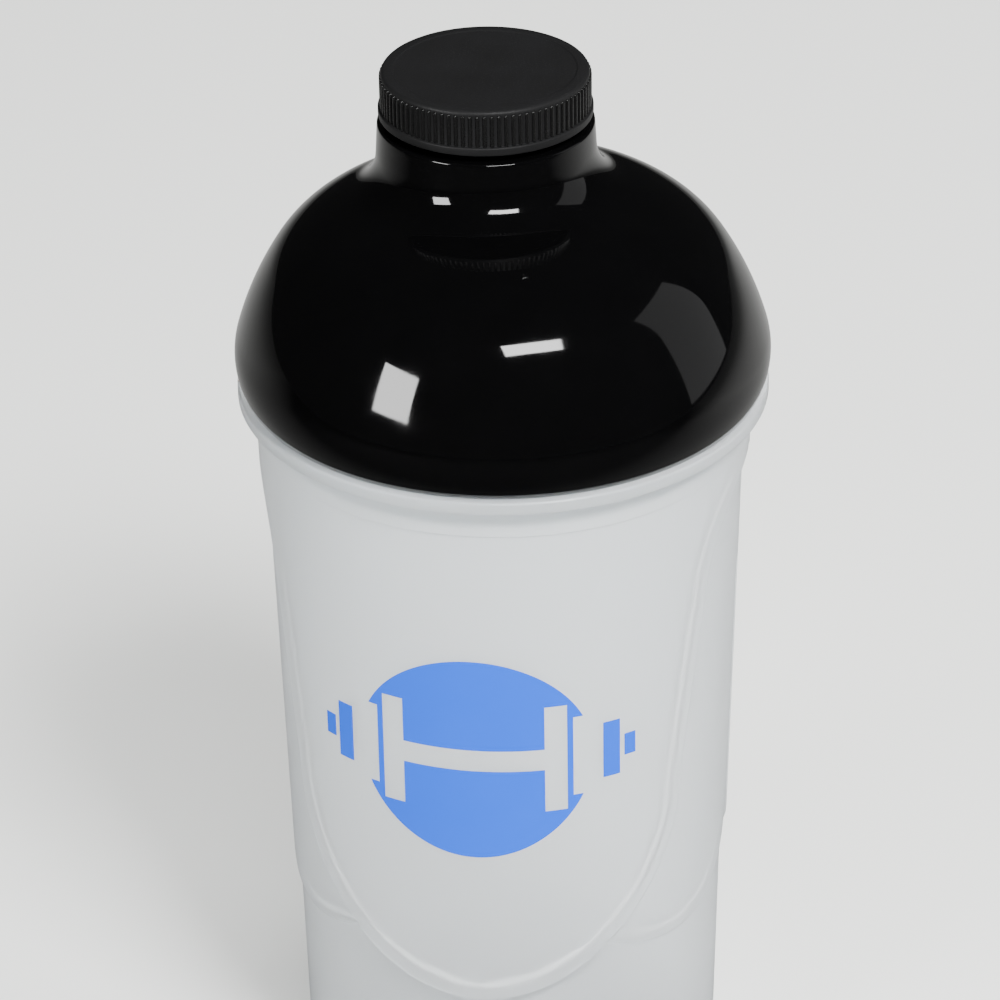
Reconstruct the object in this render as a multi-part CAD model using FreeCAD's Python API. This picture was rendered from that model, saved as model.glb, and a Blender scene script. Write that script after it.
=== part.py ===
import FreeCAD, Part

import math
import os

from FreeCAD import Vector

# A shaker bottle: a translucent threaded cup, a domed lid that screws onto it, a snap-in strainer
# under the dome, and a small screw cap on the lid's off-centre pouring neck.
# Millimetres, +Z up, origin at the centre of the base. Levels above the cup body are measured
# from EDGE_Z, the lid's lower edge, which rests just above the cup's stop ring.

# --- driving dimensions -------------------------------------------------------------------------
EDGE_Z = 152.0             # height of the lid's lower edge above the base
WALL = 1.7                 # wall of the cup
FLOOR = 2.2                # floor of the cup
BIG = 120.0                # longer than any width of the bottle, for cutting prisms
OVER = 1.0                 # how far a tool reaches past what it cuts, and a fused piece into its neighbour

# cup body: three nested tapers, each a radius at the lid's edge level and a taper per mm of depth
LOWER_R, LOWER_TAPER = 43.20, 0.0205
PETAL_R, PETAL_TAPER = 44.78, 0.0255
PANEL_R, PANEL_TAPER = 45.98, 0.0220
BASE_CORNER = 5.0          # radius of the rounded bottom corner
BASE_RING_R = 33.0         # inner radius of the resting ring under the base
BASE_DISH = 1.2            # depth of the dished underside
BASE_DISH_SIDE = 3.6       # how far its sloping side comes in

# front and back panels, outlined in the plane across the bottle, depths below the lid's edge
PANEL_HALF = 36.2          # half width where the round end starts
PANEL_END_DEPTH = 71.0
PANEL_TIP_DEPTH = 111.8
PANEL_NECK_HALF, PANEL_NECK_DEPTH = 40.6, 30.0
PANEL_FLARE_HALF, PANEL_FLARE_DEPTH = 42.4, 21.5
PANEL_TOP_HALF, PANEL_TOP_DEPTH = 47.5, 10.0

# side petals, outlined in the plane along the bottle's depth
PETAL_CENTRE = 22.0
PETAL_END_R = 21.0
PETAL_END_DEPTH = 86.0
PETAL_SLOT_DEPTH = 38.0    # the slot between the petals closes here

# stop ring, collar and threaded neck of the cup
COLLAR_R, COLLAR_DEPTH = 46.2, 8.8
STOP_R, STOP_BOTTOM, STOP_TOP = 49.0, -2.9, -0.3
NECK_R, NECK_BORE_R, NECK_TOP = 44.0, 42.3, 13.0
SHOULDER_DEPTH, SHOULDER_HEIGHT = 6.5, 3.0     # where the hollow narrows from the body to the neck

# all thread ridges
RIDGE_SINK = 0.3           # how far a ridge's foot lies inside its wall
RIDGE_CREST = 0.6          # width of a ridge's crest, as a share of its foot's

# screw thread between cup and lid: two starts
LID_LEAD = 12.0
LID_STARTS = 2
LID_RIDGE = 2.0            # ridge width at its foot
LID_FLANK_GAP = 0.3
CUP_RIDGE_CREST_R = 45.2
CUP_RIDGE_START, CUP_RIDGE_RISE = 2.0, 8.4
LID_RIDGE_CREST_R = 44.35
LID_RIDGE_START, LID_RIDGE_RISE = 1.7, 7.2

# domed lid: tangent arcs from the lower edge to the crown, as (radius, slope in degrees at its end),
# where the slope is 0 on an upright wall and 90 on a level crown
LID_EDGE_R, LID_EDGE_SLOPE = 48.0, -26.0
DOME_ARCS = [(12.7, 16.3), (59.0, 32.3), (23.0, 78.0), (170.0, 86.0)]
LID_WALL = 1.9
GASKET_SEAT_R = 42.6       # the hollow narrows to this above the seal ring
SKIRT_BORE_R = 45.5
SPIGOT_R, SPIGOT_WALL, SPIGOT_BOTTOM, SPIGOT_TOP = 41.2, 1.4, 11.0, 25.0

# pouring neck of the lid, off centre
MOUTH_X, MOUTH_Y = -3.6, 7.5
MOUTH_BORE_R = 14.8
SPOUT_FOOT_R, SPOUT_FOOT = 20.75, 31.0
SPOUT_TOP_R, SPOUT_TOP = 19.75, 47.5
SPOUT_CORE_R, SPOUT_CORE_TOP = 17.6, 45.6      # the neck's hollow below its narrower finish
SPOUT_FILLET = 8.0
SPOUT_JOIN_TOP = 40.0      # the neck meets the dome below this level
FINISH_R, FINISH_TOP = 16.5, 55.0

# screw cap and its thread: one start
CAP_BOTTOM, CAP_TOP = 49.0, 57.4
CAP_BAND_R, CAP_BAND_TOP = 19.52, 50.6
CAP_RIB_FOOT_R, CAP_RIB_R, CAP_RIB_TOP, CAP_RIBS = 18.87, 19.22, 56.5, 92
CAP_RIB_SINK = 0.5         # how far the ribs reach into the band below them
CAP_EDGE_R = 19.05
CAP_EDGE_FILLET = 0.7
CAP_BORE_R, CAP_CEILING = 17.7, 55.8
CAP_STEP_R, CAP_STEP_DEPTH = 16.45, 0.15
CAP_LEAD = 4.0
CAP_RIDGE = 1.4
CAP_FLANK_GAP = 0.2
FINISH_RIDGE_CREST_R, FINISH_RIDGE_START, FINISH_RIDGE_RISE = 17.45, 49.6, 3.8
CAP_RIDGE_CREST_R, CAP_RIDGE_START, CAP_RIDGE_RISE = 16.75, 50.1, 3.0
SEAL_R = 17.3

# seal ring and strainer
GASKET_IN_R, GASKET_OUT_R, GASKET_TOP = 42.6, 44.9, 14.6
STRAINER_R, STRAINER_WALL = 42.0, 0.75
STRAINER_TOP, STRAINER_BOTTOM, STRAINER_PLATE = 15.2, -8.8, 1.5
GRID_RINGS = 5             # rings of slots
GRID_HUB_R = 7.0
GRID_SLOT, GRID_BAR = 3.2, 3.2
GRID_SPOKES = 8
GRID_SPOKE_WIDTH = 2.6

# ink: a plain round emblem with a dumbbell across it on the front, a volume scale on the back
INK = 0.12
MARK_LEVEL = -57.0
MARK_DISC_R = 21.5
MARK_GAP = 1.3
BELL_BARS = [(0.0, 13.0, 2.3), (13.0, 17.0, 11.5), (18.0, 21.6, 8.6)]     # from x, to x, half height
BELL_TIPS = [(23.2, 26.0, 6.0), (26.8, 28.6, 2.3)]
SCALE_STEP_ML, SCALE_FROM_ML, SCALE_TOP_ML = 50, 250, 700
SCALE_X = 12.0
TICK_SHORT, TICK_LONG, TICK_HEIGHT = 7.0, 12.0, 0.9
SCALE_LONG_ML = 100        # long ticks stand at whole multiples of this
LAYER = 0.5                # thickness of the slices that measure the cup's volume
MM3_PER_ML = 1000.0

UP = Vector(0, 0, 1)
CENTRE = Vector(0, 0, 0)
MOUTH = Vector(MOUTH_X, MOUTH_Y, 0)


def disc(radius, bottom, top, centre=CENTRE):
    """A cylinder between two levels measured from the lid's edge."""
    foot = Vector(centre.x, centre.y, EDGE_Z + bottom)
    return Part.makeCylinder(radius, top - bottom, foot, UP)


def ring(outer, inner, bottom, top, centre=CENTRE):
    """A tube between two levels measured from the lid's edge."""
    return disc(outer, bottom, top, centre).cut(disc(inner, bottom - OVER, top + OVER, centre))


def taper(radius, slope, depth, bottom_z):
    """A cone frustum whose radius falls by slope per mm below the lid's edge, up to -depth."""
    top_z = EDGE_Z - depth
    return Part.makeCone(
        radius - slope * (EDGE_Z - bottom_z), radius - slope * depth,
        top_z - bottom_z, Vector(0, 0, bottom_z), UP)


def polygon(points):
    """A closed wire of straight edges."""
    return Part.makePolygon([Vector(*point) for point in points + points[:1]])


def turned(edges):
    """The solid swept by a closed outline in the XZ plane around the bottle's axis."""
    return Part.Face(Part.Wire(edges)).revolve(CENTRE, UP, 360)


# --- cup ------------------------------------------------------------------------------------------
def panel_prism(inset):
    """Prism across the bottle with the outline of the front and back panels, inset by a wall."""
    half, foot = PANEL_HALF - inset, EDGE_Z - PANEL_END_DEPTH
    neck = PANEL_NECK_HALF - inset, EDGE_Z - PANEL_NECK_DEPTH
    flare = PANEL_FLARE_HALF - inset, EDGE_Z - PANEL_FLARE_DEPTH
    top = PANEL_TOP_HALF - inset, EDGE_Z - PANEL_TOP_DEPTH

    def at(x, z):
        return Vector(x, -BIG / 2, z)

    def side(sign):
        straight = Part.LineSegment(at(sign * half, foot), at(sign * neck[0], neck[1]))
        flared = Part.Arc(at(sign * neck[0], neck[1]), at(sign * flare[0], flare[1]), at(sign * top[0], top[1]))
        lifted = Part.LineSegment(at(sign * top[0], top[1]), at(sign * top[0], EDGE_Z))
        return [straight, flared, lifted]

    drop = PANEL_TIP_DEPTH - PANEL_END_DEPTH - inset
    oval = Part.Ellipse(at(0, foot - drop), at(half, foot), at(0, foot))
    end = Part.ArcOfEllipse(oval, -math.pi / 2, math.pi / 2)
    lid = Part.LineSegment(at(-top[0], EDGE_Z), at(top[0], EDGE_Z))
    edges = [curve.toShape() for curve in [end] + side(1) + side(-1) + [lid]]
    return Part.Face(Part.Wire(Part.__sortEdges__(edges))).extrude(Vector(0, BIG, 0))


def petal_prism(inset):
    """Prism along the bottle's width with the outline of the two petals of each side."""
    slot = PETAL_CENTRE - PETAL_END_R + inset
    outer = PETAL_CENTRE + PETAL_END_R - inset
    turn_z = EDGE_Z - PETAL_END_DEPTH
    tip_z = turn_z - PETAL_END_R + inset
    slot_z = EDGE_Z - PETAL_SLOT_DEPTH

    def at(y, z):
        return Vector(-BIG / 2, y, z)

    def half(sign):
        return [
            Part.LineSegment(at(sign * outer, EDGE_Z), at(sign * outer, turn_z)),
            Part.Arc(at(sign * outer, turn_z), at(sign * PETAL_CENTRE, tip_z), at(sign * slot, turn_z)),
            Part.LineSegment(at(sign * slot, turn_z), at(sign * slot, slot_z))]

    arch = Part.Arc(at(slot, slot_z), at(0, slot_z + slot), at(-slot, slot_z))
    top = Part.LineSegment(at(-outer, EDGE_Z), at(outer, EDGE_Z))
    edges = [curve.toShape() for curve in half(1) + half(-1) + [arch, top]]
    return Part.Face(Part.Wire(Part.__sortEdges__(edges))).extrude(Vector(BIG, 0, 0))


def body_form(inset, bottom_z, depth):
    """The cup's body as a full solid, all of its surfaces moved in by inset."""
    lower = taper(LOWER_R - inset, LOWER_TAPER, depth, bottom_z)
    petals = taper(PETAL_R - inset, PETAL_TAPER, depth, bottom_z).common(petal_prism(inset))
    panels = taper(PANEL_R - inset, PANEL_TAPER, depth, bottom_z).common(panel_prism(inset))
    return lower.fuse([petals, panels])


def rounded_base(radius_at_foot, corner, bottom_z):
    """A tool that rounds the bottom corner when intersected with the body."""
    r, z = radius_at_foot, bottom_z
    spread, high = BIG, 2 * BIG
    mid = corner * (1 - math.sqrt(0.5))
    edges = [
        Part.LineSegment(Vector(0, 0, z), Vector(r - corner, 0, z)).toShape(),
        Part.Arc(Vector(r - corner, 0, z), Vector(r - mid, 0, z + mid), Vector(r, 0, z + corner)).toShape(),
        Part.LineSegment(Vector(r, 0, z + corner), Vector(spread, 0, z + corner)).toShape(),
        Part.LineSegment(Vector(spread, 0, z + corner), Vector(spread, 0, high)).toShape(),
        Part.LineSegment(Vector(spread, 0, high), Vector(0, 0, high)).toShape(),
        Part.LineSegment(Vector(0, 0, high), Vector(0, 0, z)).toShape()]
    return turned(edges)


def helical_ridge(root_r, crest_r, foot_width, lead, start, rise, angle, centre=CENTRE):
    """One thread ridge of trapezoid section; it stands out when crest_r > root_r, else in."""
    sign = 1 if crest_r > root_r else -1
    foot_r = root_r - sign * RIDGE_SINK
    foot_half = foot_width / 2
    crest_half = foot_half * RIDGE_CREST
    helix = Part.makeHelix(lead, rise, root_r)
    section = polygon([
        (foot_r, 0, -foot_half), (crest_r, 0, -crest_half), (crest_r, 0, crest_half), (foot_r, 0, foot_half)])
    ridge = Part.Wire(helix.Edges).makePipeShell([section], True, True)
    ridge.rotate(CENTRE, UP, angle)
    ridge.translate(Vector(centre.x, centre.y, EDGE_Z + start))
    return ridge


def cup_hollow():
    """Everything that is empty inside the cup, as one solid."""
    floor_r = LOWER_R - LOWER_TAPER * EDGE_Z - WALL
    depth = SHOULDER_DEPTH
    body = body_form(WALL, FLOOR, depth).common(rounded_base(floor_r, BASE_CORNER - WALL, FLOOR))
    shoulder = Part.makeCone(
        PANEL_R - WALL - PANEL_TAPER * depth, NECK_BORE_R, SHOULDER_HEIGHT, Vector(0, 0, EDGE_Z - depth), UP)
    return body.fuse([shoulder, disc(NECK_BORE_R, -depth, NECK_TOP + OVER)])


def cup_ridges():
    """The thread's ridges on the cup's neck."""
    return [
        helical_ridge(NECK_R, CUP_RIDGE_CREST_R, LID_RIDGE, LID_LEAD, CUP_RIDGE_START, CUP_RIDGE_RISE,
                      360.0 * start / LID_STARTS)
        for start in range(LID_STARTS)]


def make_cup():
    """The cup with its stop ring and threaded neck."""
    foot_r = LOWER_R - LOWER_TAPER * EDGE_Z
    body = body_form(0, 0, -STOP_TOP).common(rounded_base(foot_r, BASE_CORNER, 0))
    rings = [disc(COLLAR_R, -COLLAR_DEPTH, STOP_TOP), disc(STOP_R, STOP_BOTTOM, STOP_TOP),
             disc(NECK_R, STOP_TOP - OVER, NECK_TOP)]
    solid = body.fuse(rings).cut(cup_hollow())
    dish = Part.makeCone(BASE_RING_R, BASE_RING_R - BASE_DISH_SIDE, BASE_DISH, CENTRE, UP)
    return solid.cut(dish).fuse(cup_ridges()).removeSplitter()


# --- domed lid ------------------------------------------------------------------------------------
def dome_edges(inset):
    """The dome's outline as tangent arcs up to the axis, moved in by inset."""
    slope = math.radians(LID_EDGE_SLOPE)
    hub_r = LID_EDGE_R - DOME_ARCS[0][0] * math.cos(slope)
    hub_z = EDGE_Z - DOME_ARCS[0][0] * math.sin(slope)
    edges = []
    for index, (radius, end_degrees) in enumerate(DOME_ARCS):
        end = math.radians(end_degrees)
        if index == len(DOME_ARCS) - 1:
            end = math.acos(-hub_r / (radius - inset))
        points = [Vector(hub_r + (radius - inset) * math.cos(turn), 0, hub_z + (radius - inset) * math.sin(turn))
                  for turn in (slope, (slope + end) / 2, end)]
        edges.append(Part.Arc(*points).toShape())
        if index < len(DOME_ARCS) - 1:
            step = radius - DOME_ARCS[index + 1][0]
            hub_r += step * math.cos(end)
            hub_z += step * math.sin(end)
        slope = end
    return edges, points[-1]


def dome_solid(inset):
    """The dome as a full solid standing on the level of the lid's edge."""
    edges, apex = dome_edges(inset)
    start = edges[0].Vertexes[0].Point
    floor = Vector(0, 0, start.z)
    edges.append(Part.LineSegment(apex, floor).toShape())
    edges.append(Part.LineSegment(floor, start).toShape())
    return turned(Part.__sortEdges__(edges))


def spout():
    """The tapered neck above the dome."""
    return Part.makeCone(
        SPOUT_FOOT_R, SPOUT_TOP_R, SPOUT_TOP - SPOUT_FOOT, Vector(MOUTH_X, MOUTH_Y, EDGE_Z + SPOUT_FOOT), UP)


def spout_join_edges(shape):
    """The edges where the neck meets the dome: those that wind round the neck's foot."""
    found = []
    for edge in shape.Edges:
        box = edge.BoundBox
        level = box.Center.z - EDGE_Z
        if SPOUT_FOOT < level < SPOUT_JOIN_TOP and SPOUT_FOOT_R < box.XLength < 2.2 * SPOUT_FOOT_R:
            found.append(edge)
    return found


def make_dome_lid():
    """The lid: skirt, dome, pouring neck, the ring that the strainer snaps onto, and both threads."""
    skin = dome_solid(0.0)
    shell = skin.fuse(spout())
    shell = shell.makeFillet(SPOUT_FILLET, spout_join_edges(shell))
    upper = dome_solid(LID_WALL).common(disc(GASKET_SEAT_R, GASKET_TOP, SPOUT_TOP))
    hollow = disc(SKIRT_BORE_R, -OVER, GASKET_TOP).fuse(upper)
    finish = disc(FINISH_R, SPOUT_TOP - OVER, FINISH_TOP, MOUTH)
    spigot = ring(SPIGOT_R, SPIGOT_R - SPIGOT_WALL, SPIGOT_BOTTOM, SPIGOT_TOP)
    core = disc(SPOUT_CORE_R, SPIGOT_TOP, SPOUT_CORE_TOP, MOUTH)
    bore = disc(MOUTH_BORE_R, SPIGOT_TOP, FINISH_TOP + OVER, MOUTH)
    lid = shell.fuse(finish).cut(hollow.fuse([core, bore])).fuse(spigot.common(skin))
    turn = (LID_RIDGE_START + LID_RIDGE + LID_FLANK_GAP - CUP_RIDGE_START) / LID_LEAD * 360.0
    ridges = [
        helical_ridge(SKIRT_BORE_R, LID_RIDGE_CREST_R, LID_RIDGE, LID_LEAD, LID_RIDGE_START, LID_RIDGE_RISE,
                      turn + 360.0 * start / LID_STARTS)
        for start in range(LID_STARTS)]
    ridges.append(helical_ridge(
        FINISH_R, FINISH_RIDGE_CREST_R, CAP_RIDGE, CAP_LEAD, FINISH_RIDGE_START, FINISH_RIDGE_RISE, 0.0, MOUTH))
    return lid.fuse(ridges)


# --- screw cap ------------------------------------------------------------------------------------
def ribbed_drum():
    """The knurled side of the cap: a ring of small round ribs that meet at their feet."""
    step = 2 * math.pi / CAP_RIBS
    foot = CAP_BAND_TOP - CAP_RIB_SINK

    def at(radius, turn):
        return MOUTH + Vector(radius * math.cos(turn), radius * math.sin(turn), EDGE_Z + foot)

    arcs = [
        Part.Arc(at(CAP_RIB_FOOT_R, rib * step), at(CAP_RIB_R, (rib + 0.5) * step),
                 at(CAP_RIB_FOOT_R, (rib + 1) * step)).toShape()
        for rib in range(CAP_RIBS)]
    return Part.Face(Part.Wire(arcs)).extrude(Vector(0, 0, CAP_RIB_TOP - foot))


def make_screw_cap():
    """The small cap: band, ribs, crown and its own thread."""
    crown = disc(CAP_EDGE_R, CAP_RIB_TOP - OVER, CAP_TOP, MOUTH)
    rim = [edge for edge in crown.Edges if abs(edge.BoundBox.ZMin - EDGE_Z - CAP_TOP) < 1e-6
           and edge.BoundBox.XLength > CAP_EDGE_R]
    crown = crown.makeFillet(CAP_EDGE_FILLET, rim)
    band = disc(CAP_BAND_R, CAP_BOTTOM, CAP_BAND_TOP, MOUTH)
    solid = band.fuse([ribbed_drum(), crown])
    solid = solid.cut(disc(CAP_BORE_R, CAP_BOTTOM - OVER, CAP_CEILING, MOUTH))
    solid = solid.cut(disc(CAP_STEP_R, CAP_TOP - CAP_STEP_DEPTH, CAP_TOP + OVER, MOUTH))
    turn = (CAP_RIDGE_START + CAP_RIDGE + CAP_FLANK_GAP - FINISH_RIDGE_START) / CAP_LEAD * 360.0
    ridge = helical_ridge(
        CAP_BORE_R, CAP_RIDGE_CREST_R, CAP_RIDGE, CAP_LEAD, CAP_RIDGE_START, CAP_RIDGE_RISE, turn, MOUTH)
    return solid.fuse(ridge)


def make_cap_seal():
    """The liner disc under the cap's top."""
    return disc(SEAL_R, FINISH_TOP, CAP_CEILING, MOUTH)


# --- seal ring and strainer -----------------------------------------------------------------------
def make_lid_gasket():
    """The seal ring between the cup's rim and the lid."""
    return ring(GASKET_OUT_R, GASKET_IN_R, NECK_TOP, GASKET_TOP)


def grid_slots():
    """Arc slots between concentric rings, with straight spokes left across them."""
    bottom, top = STRAINER_BOTTOM - OVER, STRAINER_BOTTOM + STRAINER_PLATE + OVER
    rings = []
    for index in range(GRID_RINGS):
        inner = GRID_HUB_R + index * (GRID_SLOT + GRID_BAR)
        rings.append(ring(inner + GRID_SLOT, inner, bottom, top))
    slots = rings[0].fuse(rings[1:])
    reach = GRID_HUB_R + GRID_RINGS * (GRID_SLOT + GRID_BAR)
    for spoke in range(GRID_SPOKES // 2):
        bar = Part.makeBox(2 * reach, GRID_SPOKE_WIDTH, top - bottom,
                           Vector(-reach, -GRID_SPOKE_WIDTH / 2, EDGE_Z + bottom))
        bar.rotate(CENTRE, UP, spoke * 360.0 / GRID_SPOKES)
        slots = slots.cut(bar)
    return slots


def make_strainer():
    """The basket that breaks up clumps, with a slotted floor."""
    basket = disc(STRAINER_R, STRAINER_BOTTOM, STRAINER_TOP)
    hollow = disc(STRAINER_R - STRAINER_WALL, STRAINER_BOTTOM + STRAINER_PLATE, STRAINER_TOP + OVER)
    return basket.cut(hollow).cut(grid_slots())


# --- ink ------------------------------------------------------------------------------------------
def ink_skin():
    """A thin skin on the front and back panels."""
    outer = taper(PANEL_R + INK, PANEL_TAPER, COLLAR_DEPTH, EDGE_Z - PANEL_TIP_DEPTH)
    return outer.cut(taper(PANEL_R, PANEL_TAPER, COLLAR_DEPTH, EDGE_Z - PANEL_TIP_DEPTH))


def slab(x_from, x_to, z_from, z_to):
    """A prism reaching forwards from the middle of the bottle."""
    return Part.makeBox(x_to - x_from, BIG, z_to - z_from, Vector(x_from, -BIG, EDGE_Z + z_from))


def both_sides(bars):
    """The slabs of a row of bars on the right and on the left of the emblem's middle."""
    slabs = []
    for x_from, x_to, half in bars:
        for left, right in ((x_from, x_to), (-x_to, -x_from)):
            slabs.append(slab(left, right, MARK_LEVEL - half, MARK_LEVEL + half))
    return slabs[0].fuse(slabs[1:])


def make_printed_mark():
    """A filled disc with the dumbbell's middle left open, and the dumbbell's ends outside it."""
    round_tool = Part.makeCylinder(MARK_DISC_R, BIG, Vector(0, 0, EDGE_Z + MARK_LEVEL), Vector(0, -1, 0))
    clear_tool = Part.makeCylinder(MARK_DISC_R + MARK_GAP, BIG, Vector(0, 0, EDGE_Z + MARK_LEVEL), Vector(0, -1, 0))
    skin = ink_skin()
    inside = skin.common(round_tool.cut(both_sides(BELL_BARS)))
    outside = skin.common(both_sides(BELL_TIPS).cut(clear_tool))
    return Part.makeCompound(inside.Solids + outside.Solids)


def fill_levels():
    """Height above the base at which the hollow holds each whole step of the scale, by millilitres."""
    hollow = cup_hollow()
    levels = {}
    volume = 0.0
    z = FLOOR
    wanted = SCALE_STEP_ML
    while wanted <= SCALE_TOP_ML:
        wires = hollow.slice(UP, z + LAYER / 2)
        gained = max(Part.Face(wire).Area for wire in wires) * LAYER
        if volume + gained >= wanted * MM3_PER_ML:
            levels[wanted] = z + LAYER * (wanted * MM3_PER_ML - volume) / gained
            wanted += SCALE_STEP_ML
        volume += gained
        z += LAYER
    return levels


def make_volume_scale(levels):
    """Ticks on the back panel, long at whole hundreds."""
    ticks = []
    for millilitres in range(SCALE_FROM_ML, SCALE_TOP_ML + 1, SCALE_STEP_ML):
        level = levels[millilitres]
        length = TICK_SHORT if millilitres % SCALE_LONG_ML else TICK_LONG
        ticks.append(Part.makeBox(length, BIG, TICK_HEIGHT, Vector(-SCALE_X - length, 0, level - TICK_HEIGHT / 2)))
    marks = ink_skin().common(ticks[0].fuse(ticks[1:]))
    return Part.makeCompound(marks.Solids)


def main():
    """Build every piece and write its file."""
    os.makedirs("parts", exist_ok=True)
    levels = fill_levels()
    print("scale levels", {millilitres: round(level, 2) for millilitres, level in levels.items()})
    nodes = {
        "cup": make_cup(), "dome_lid": make_dome_lid(), "screw_cap": make_screw_cap(),
        "cap_seal": make_cap_seal(), "lid_gasket": make_lid_gasket(), "strainer": make_strainer(),
        "printed_mark": make_printed_mark(), "volume_scale": make_volume_scale(levels)}
    for name, shape in nodes.items():
        shape.exportStep(f"parts/{name}.step")
        print(name, shape.isValid(), len(shape.Solids), round(shape.Volume, 1), shape.BoundBox)


main()
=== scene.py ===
"""Looks of a protein shaker bottle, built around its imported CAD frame.

Every sub-assembly is a class that holds its sizes in millimetres, builds its meshes in the row frame
and dresses them. Levels are measured from the domed lid's lower edge, as in the part's own design.
"""

import logging
import math
from dataclasses import dataclass, field
from enum import Enum
from typing import Callable, Sequence

import bmesh
import bpy
import numpy as np
from mathutils import Matrix, Vector
from mathutils.geometry import delaunay_2d_cdt


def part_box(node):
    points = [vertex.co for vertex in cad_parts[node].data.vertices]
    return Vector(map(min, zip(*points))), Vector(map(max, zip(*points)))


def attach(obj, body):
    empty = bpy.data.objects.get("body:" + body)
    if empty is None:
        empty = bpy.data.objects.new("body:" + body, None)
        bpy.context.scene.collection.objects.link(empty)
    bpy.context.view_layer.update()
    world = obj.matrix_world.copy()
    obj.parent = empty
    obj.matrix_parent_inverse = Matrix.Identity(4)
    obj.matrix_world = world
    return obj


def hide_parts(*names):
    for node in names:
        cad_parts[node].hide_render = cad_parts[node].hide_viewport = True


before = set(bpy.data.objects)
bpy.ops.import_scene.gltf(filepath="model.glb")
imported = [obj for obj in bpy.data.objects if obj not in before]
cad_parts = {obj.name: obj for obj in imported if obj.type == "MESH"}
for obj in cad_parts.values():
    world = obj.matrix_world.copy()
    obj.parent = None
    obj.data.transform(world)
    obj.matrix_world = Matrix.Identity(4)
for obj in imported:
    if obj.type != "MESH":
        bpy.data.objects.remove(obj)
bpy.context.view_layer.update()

LOG = logging.getLogger("shaker")
MM = 0.001
EDGE_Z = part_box("dome_lid")[0].z / MM
AROUND = 256                # points around every turned surface
FULL_TURN = 2 * math.pi
WELD = 0.002 * MM           # points closer than this become one
UNROLL_R = 44.0             # radius at which the cup's wall is unrolled flat
LID_LEAD = 12.0             # how far the dome rises in a turn
CAP_LEAD = 4.0              # how far the cap rises in a turn
CUP_THREAD = (2.0, 2.0)     # where the cup's thread starts, and the width of its foot
SPOUT_THREAD = (49.6, 1.4)

Points = np.ndarray
Outline = list[tuple[float, float]]
Axis = tuple[float, float]
MOUTH: Axis = (-3.6, 7.5)   # where the pouring neck and its cap stand


class Body(Enum):
    """The moving bodies that pieces ride on."""

    CUP = "cup"
    LID_CARRIER = "lid_carrier"
    LID = "dome_lid"
    STRAINER = "strainer"
    CAP_CARRIER = "cap_carrier"
    CAP = "screw_cap"


# --- shapes -----------------------------------------------------------------------------------------
def smoothstep(value: Points) -> Points:
    """Ease from 0 to 1 with level ends.

    Args:
        value: Positions, where 0 and 1 are the ends of the ease.

    Returns:
        The eased values.
    """
    t = np.clip(value, 0.0, 1.0)
    return t * t * (3.0 - 2.0 * t)


def rounded(corners: Sequence[tuple[float, float, float]], steps: int = 5) -> Outline:
    """Round the corners of an open outline.

    Args:
        corners: Radius, level and fillet of each corner, in order.
        steps: Pieces that each fillet is divided into.

    Returns:
        The outline's points, with each corner replaced by an arc.
    """
    points: Outline = []
    for index, (x, z, fillet) in enumerate(corners):
        if fillet == 0 or index in (0, len(corners) - 1):
            points.append((x, z))
            continue
        here = Vector((x, z))
        back = (Vector(corners[index - 1][:2]) - here).normalized()
        ahead = (Vector(corners[index + 1][:2]) - here).normalized()
        half = back.angle(ahead) / 2
        hub = here + (back + ahead).normalized() * (fillet / math.sin(half))
        start = here + back * (fillet / math.tan(half)) - hub
        end = here + ahead * (fillet / math.tan(half)) - hub
        turn = start.angle_signed(end)
        for step in range(steps + 1):
            spoke = start.copy()
            spoke.rotate(Matrix.Rotation(-turn * step / steps, 2))
            points.append((hub.x + spoke.x, hub.y + spoke.y))
    return points


def circle(radius: float, level: float, centre: Axis = (0.0, 0.0), around: int = AROUND) -> Points:
    """Points of a level circle, starting at the front and going round to +X.

    Args:
        radius: Radius in millimetres.
        level: Height above the lid's edge.
        centre: Where the circle's axis stands, along X and Y.
        around: How many points.

    Returns:
        An array of points.
    """
    turn = np.arange(around) * FULL_TURN / around
    return np.column_stack([
        centre[0] + radius * np.sin(turn), centre[1] - radius * np.cos(turn), np.full(around, level + EDGE_Z)])


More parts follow.
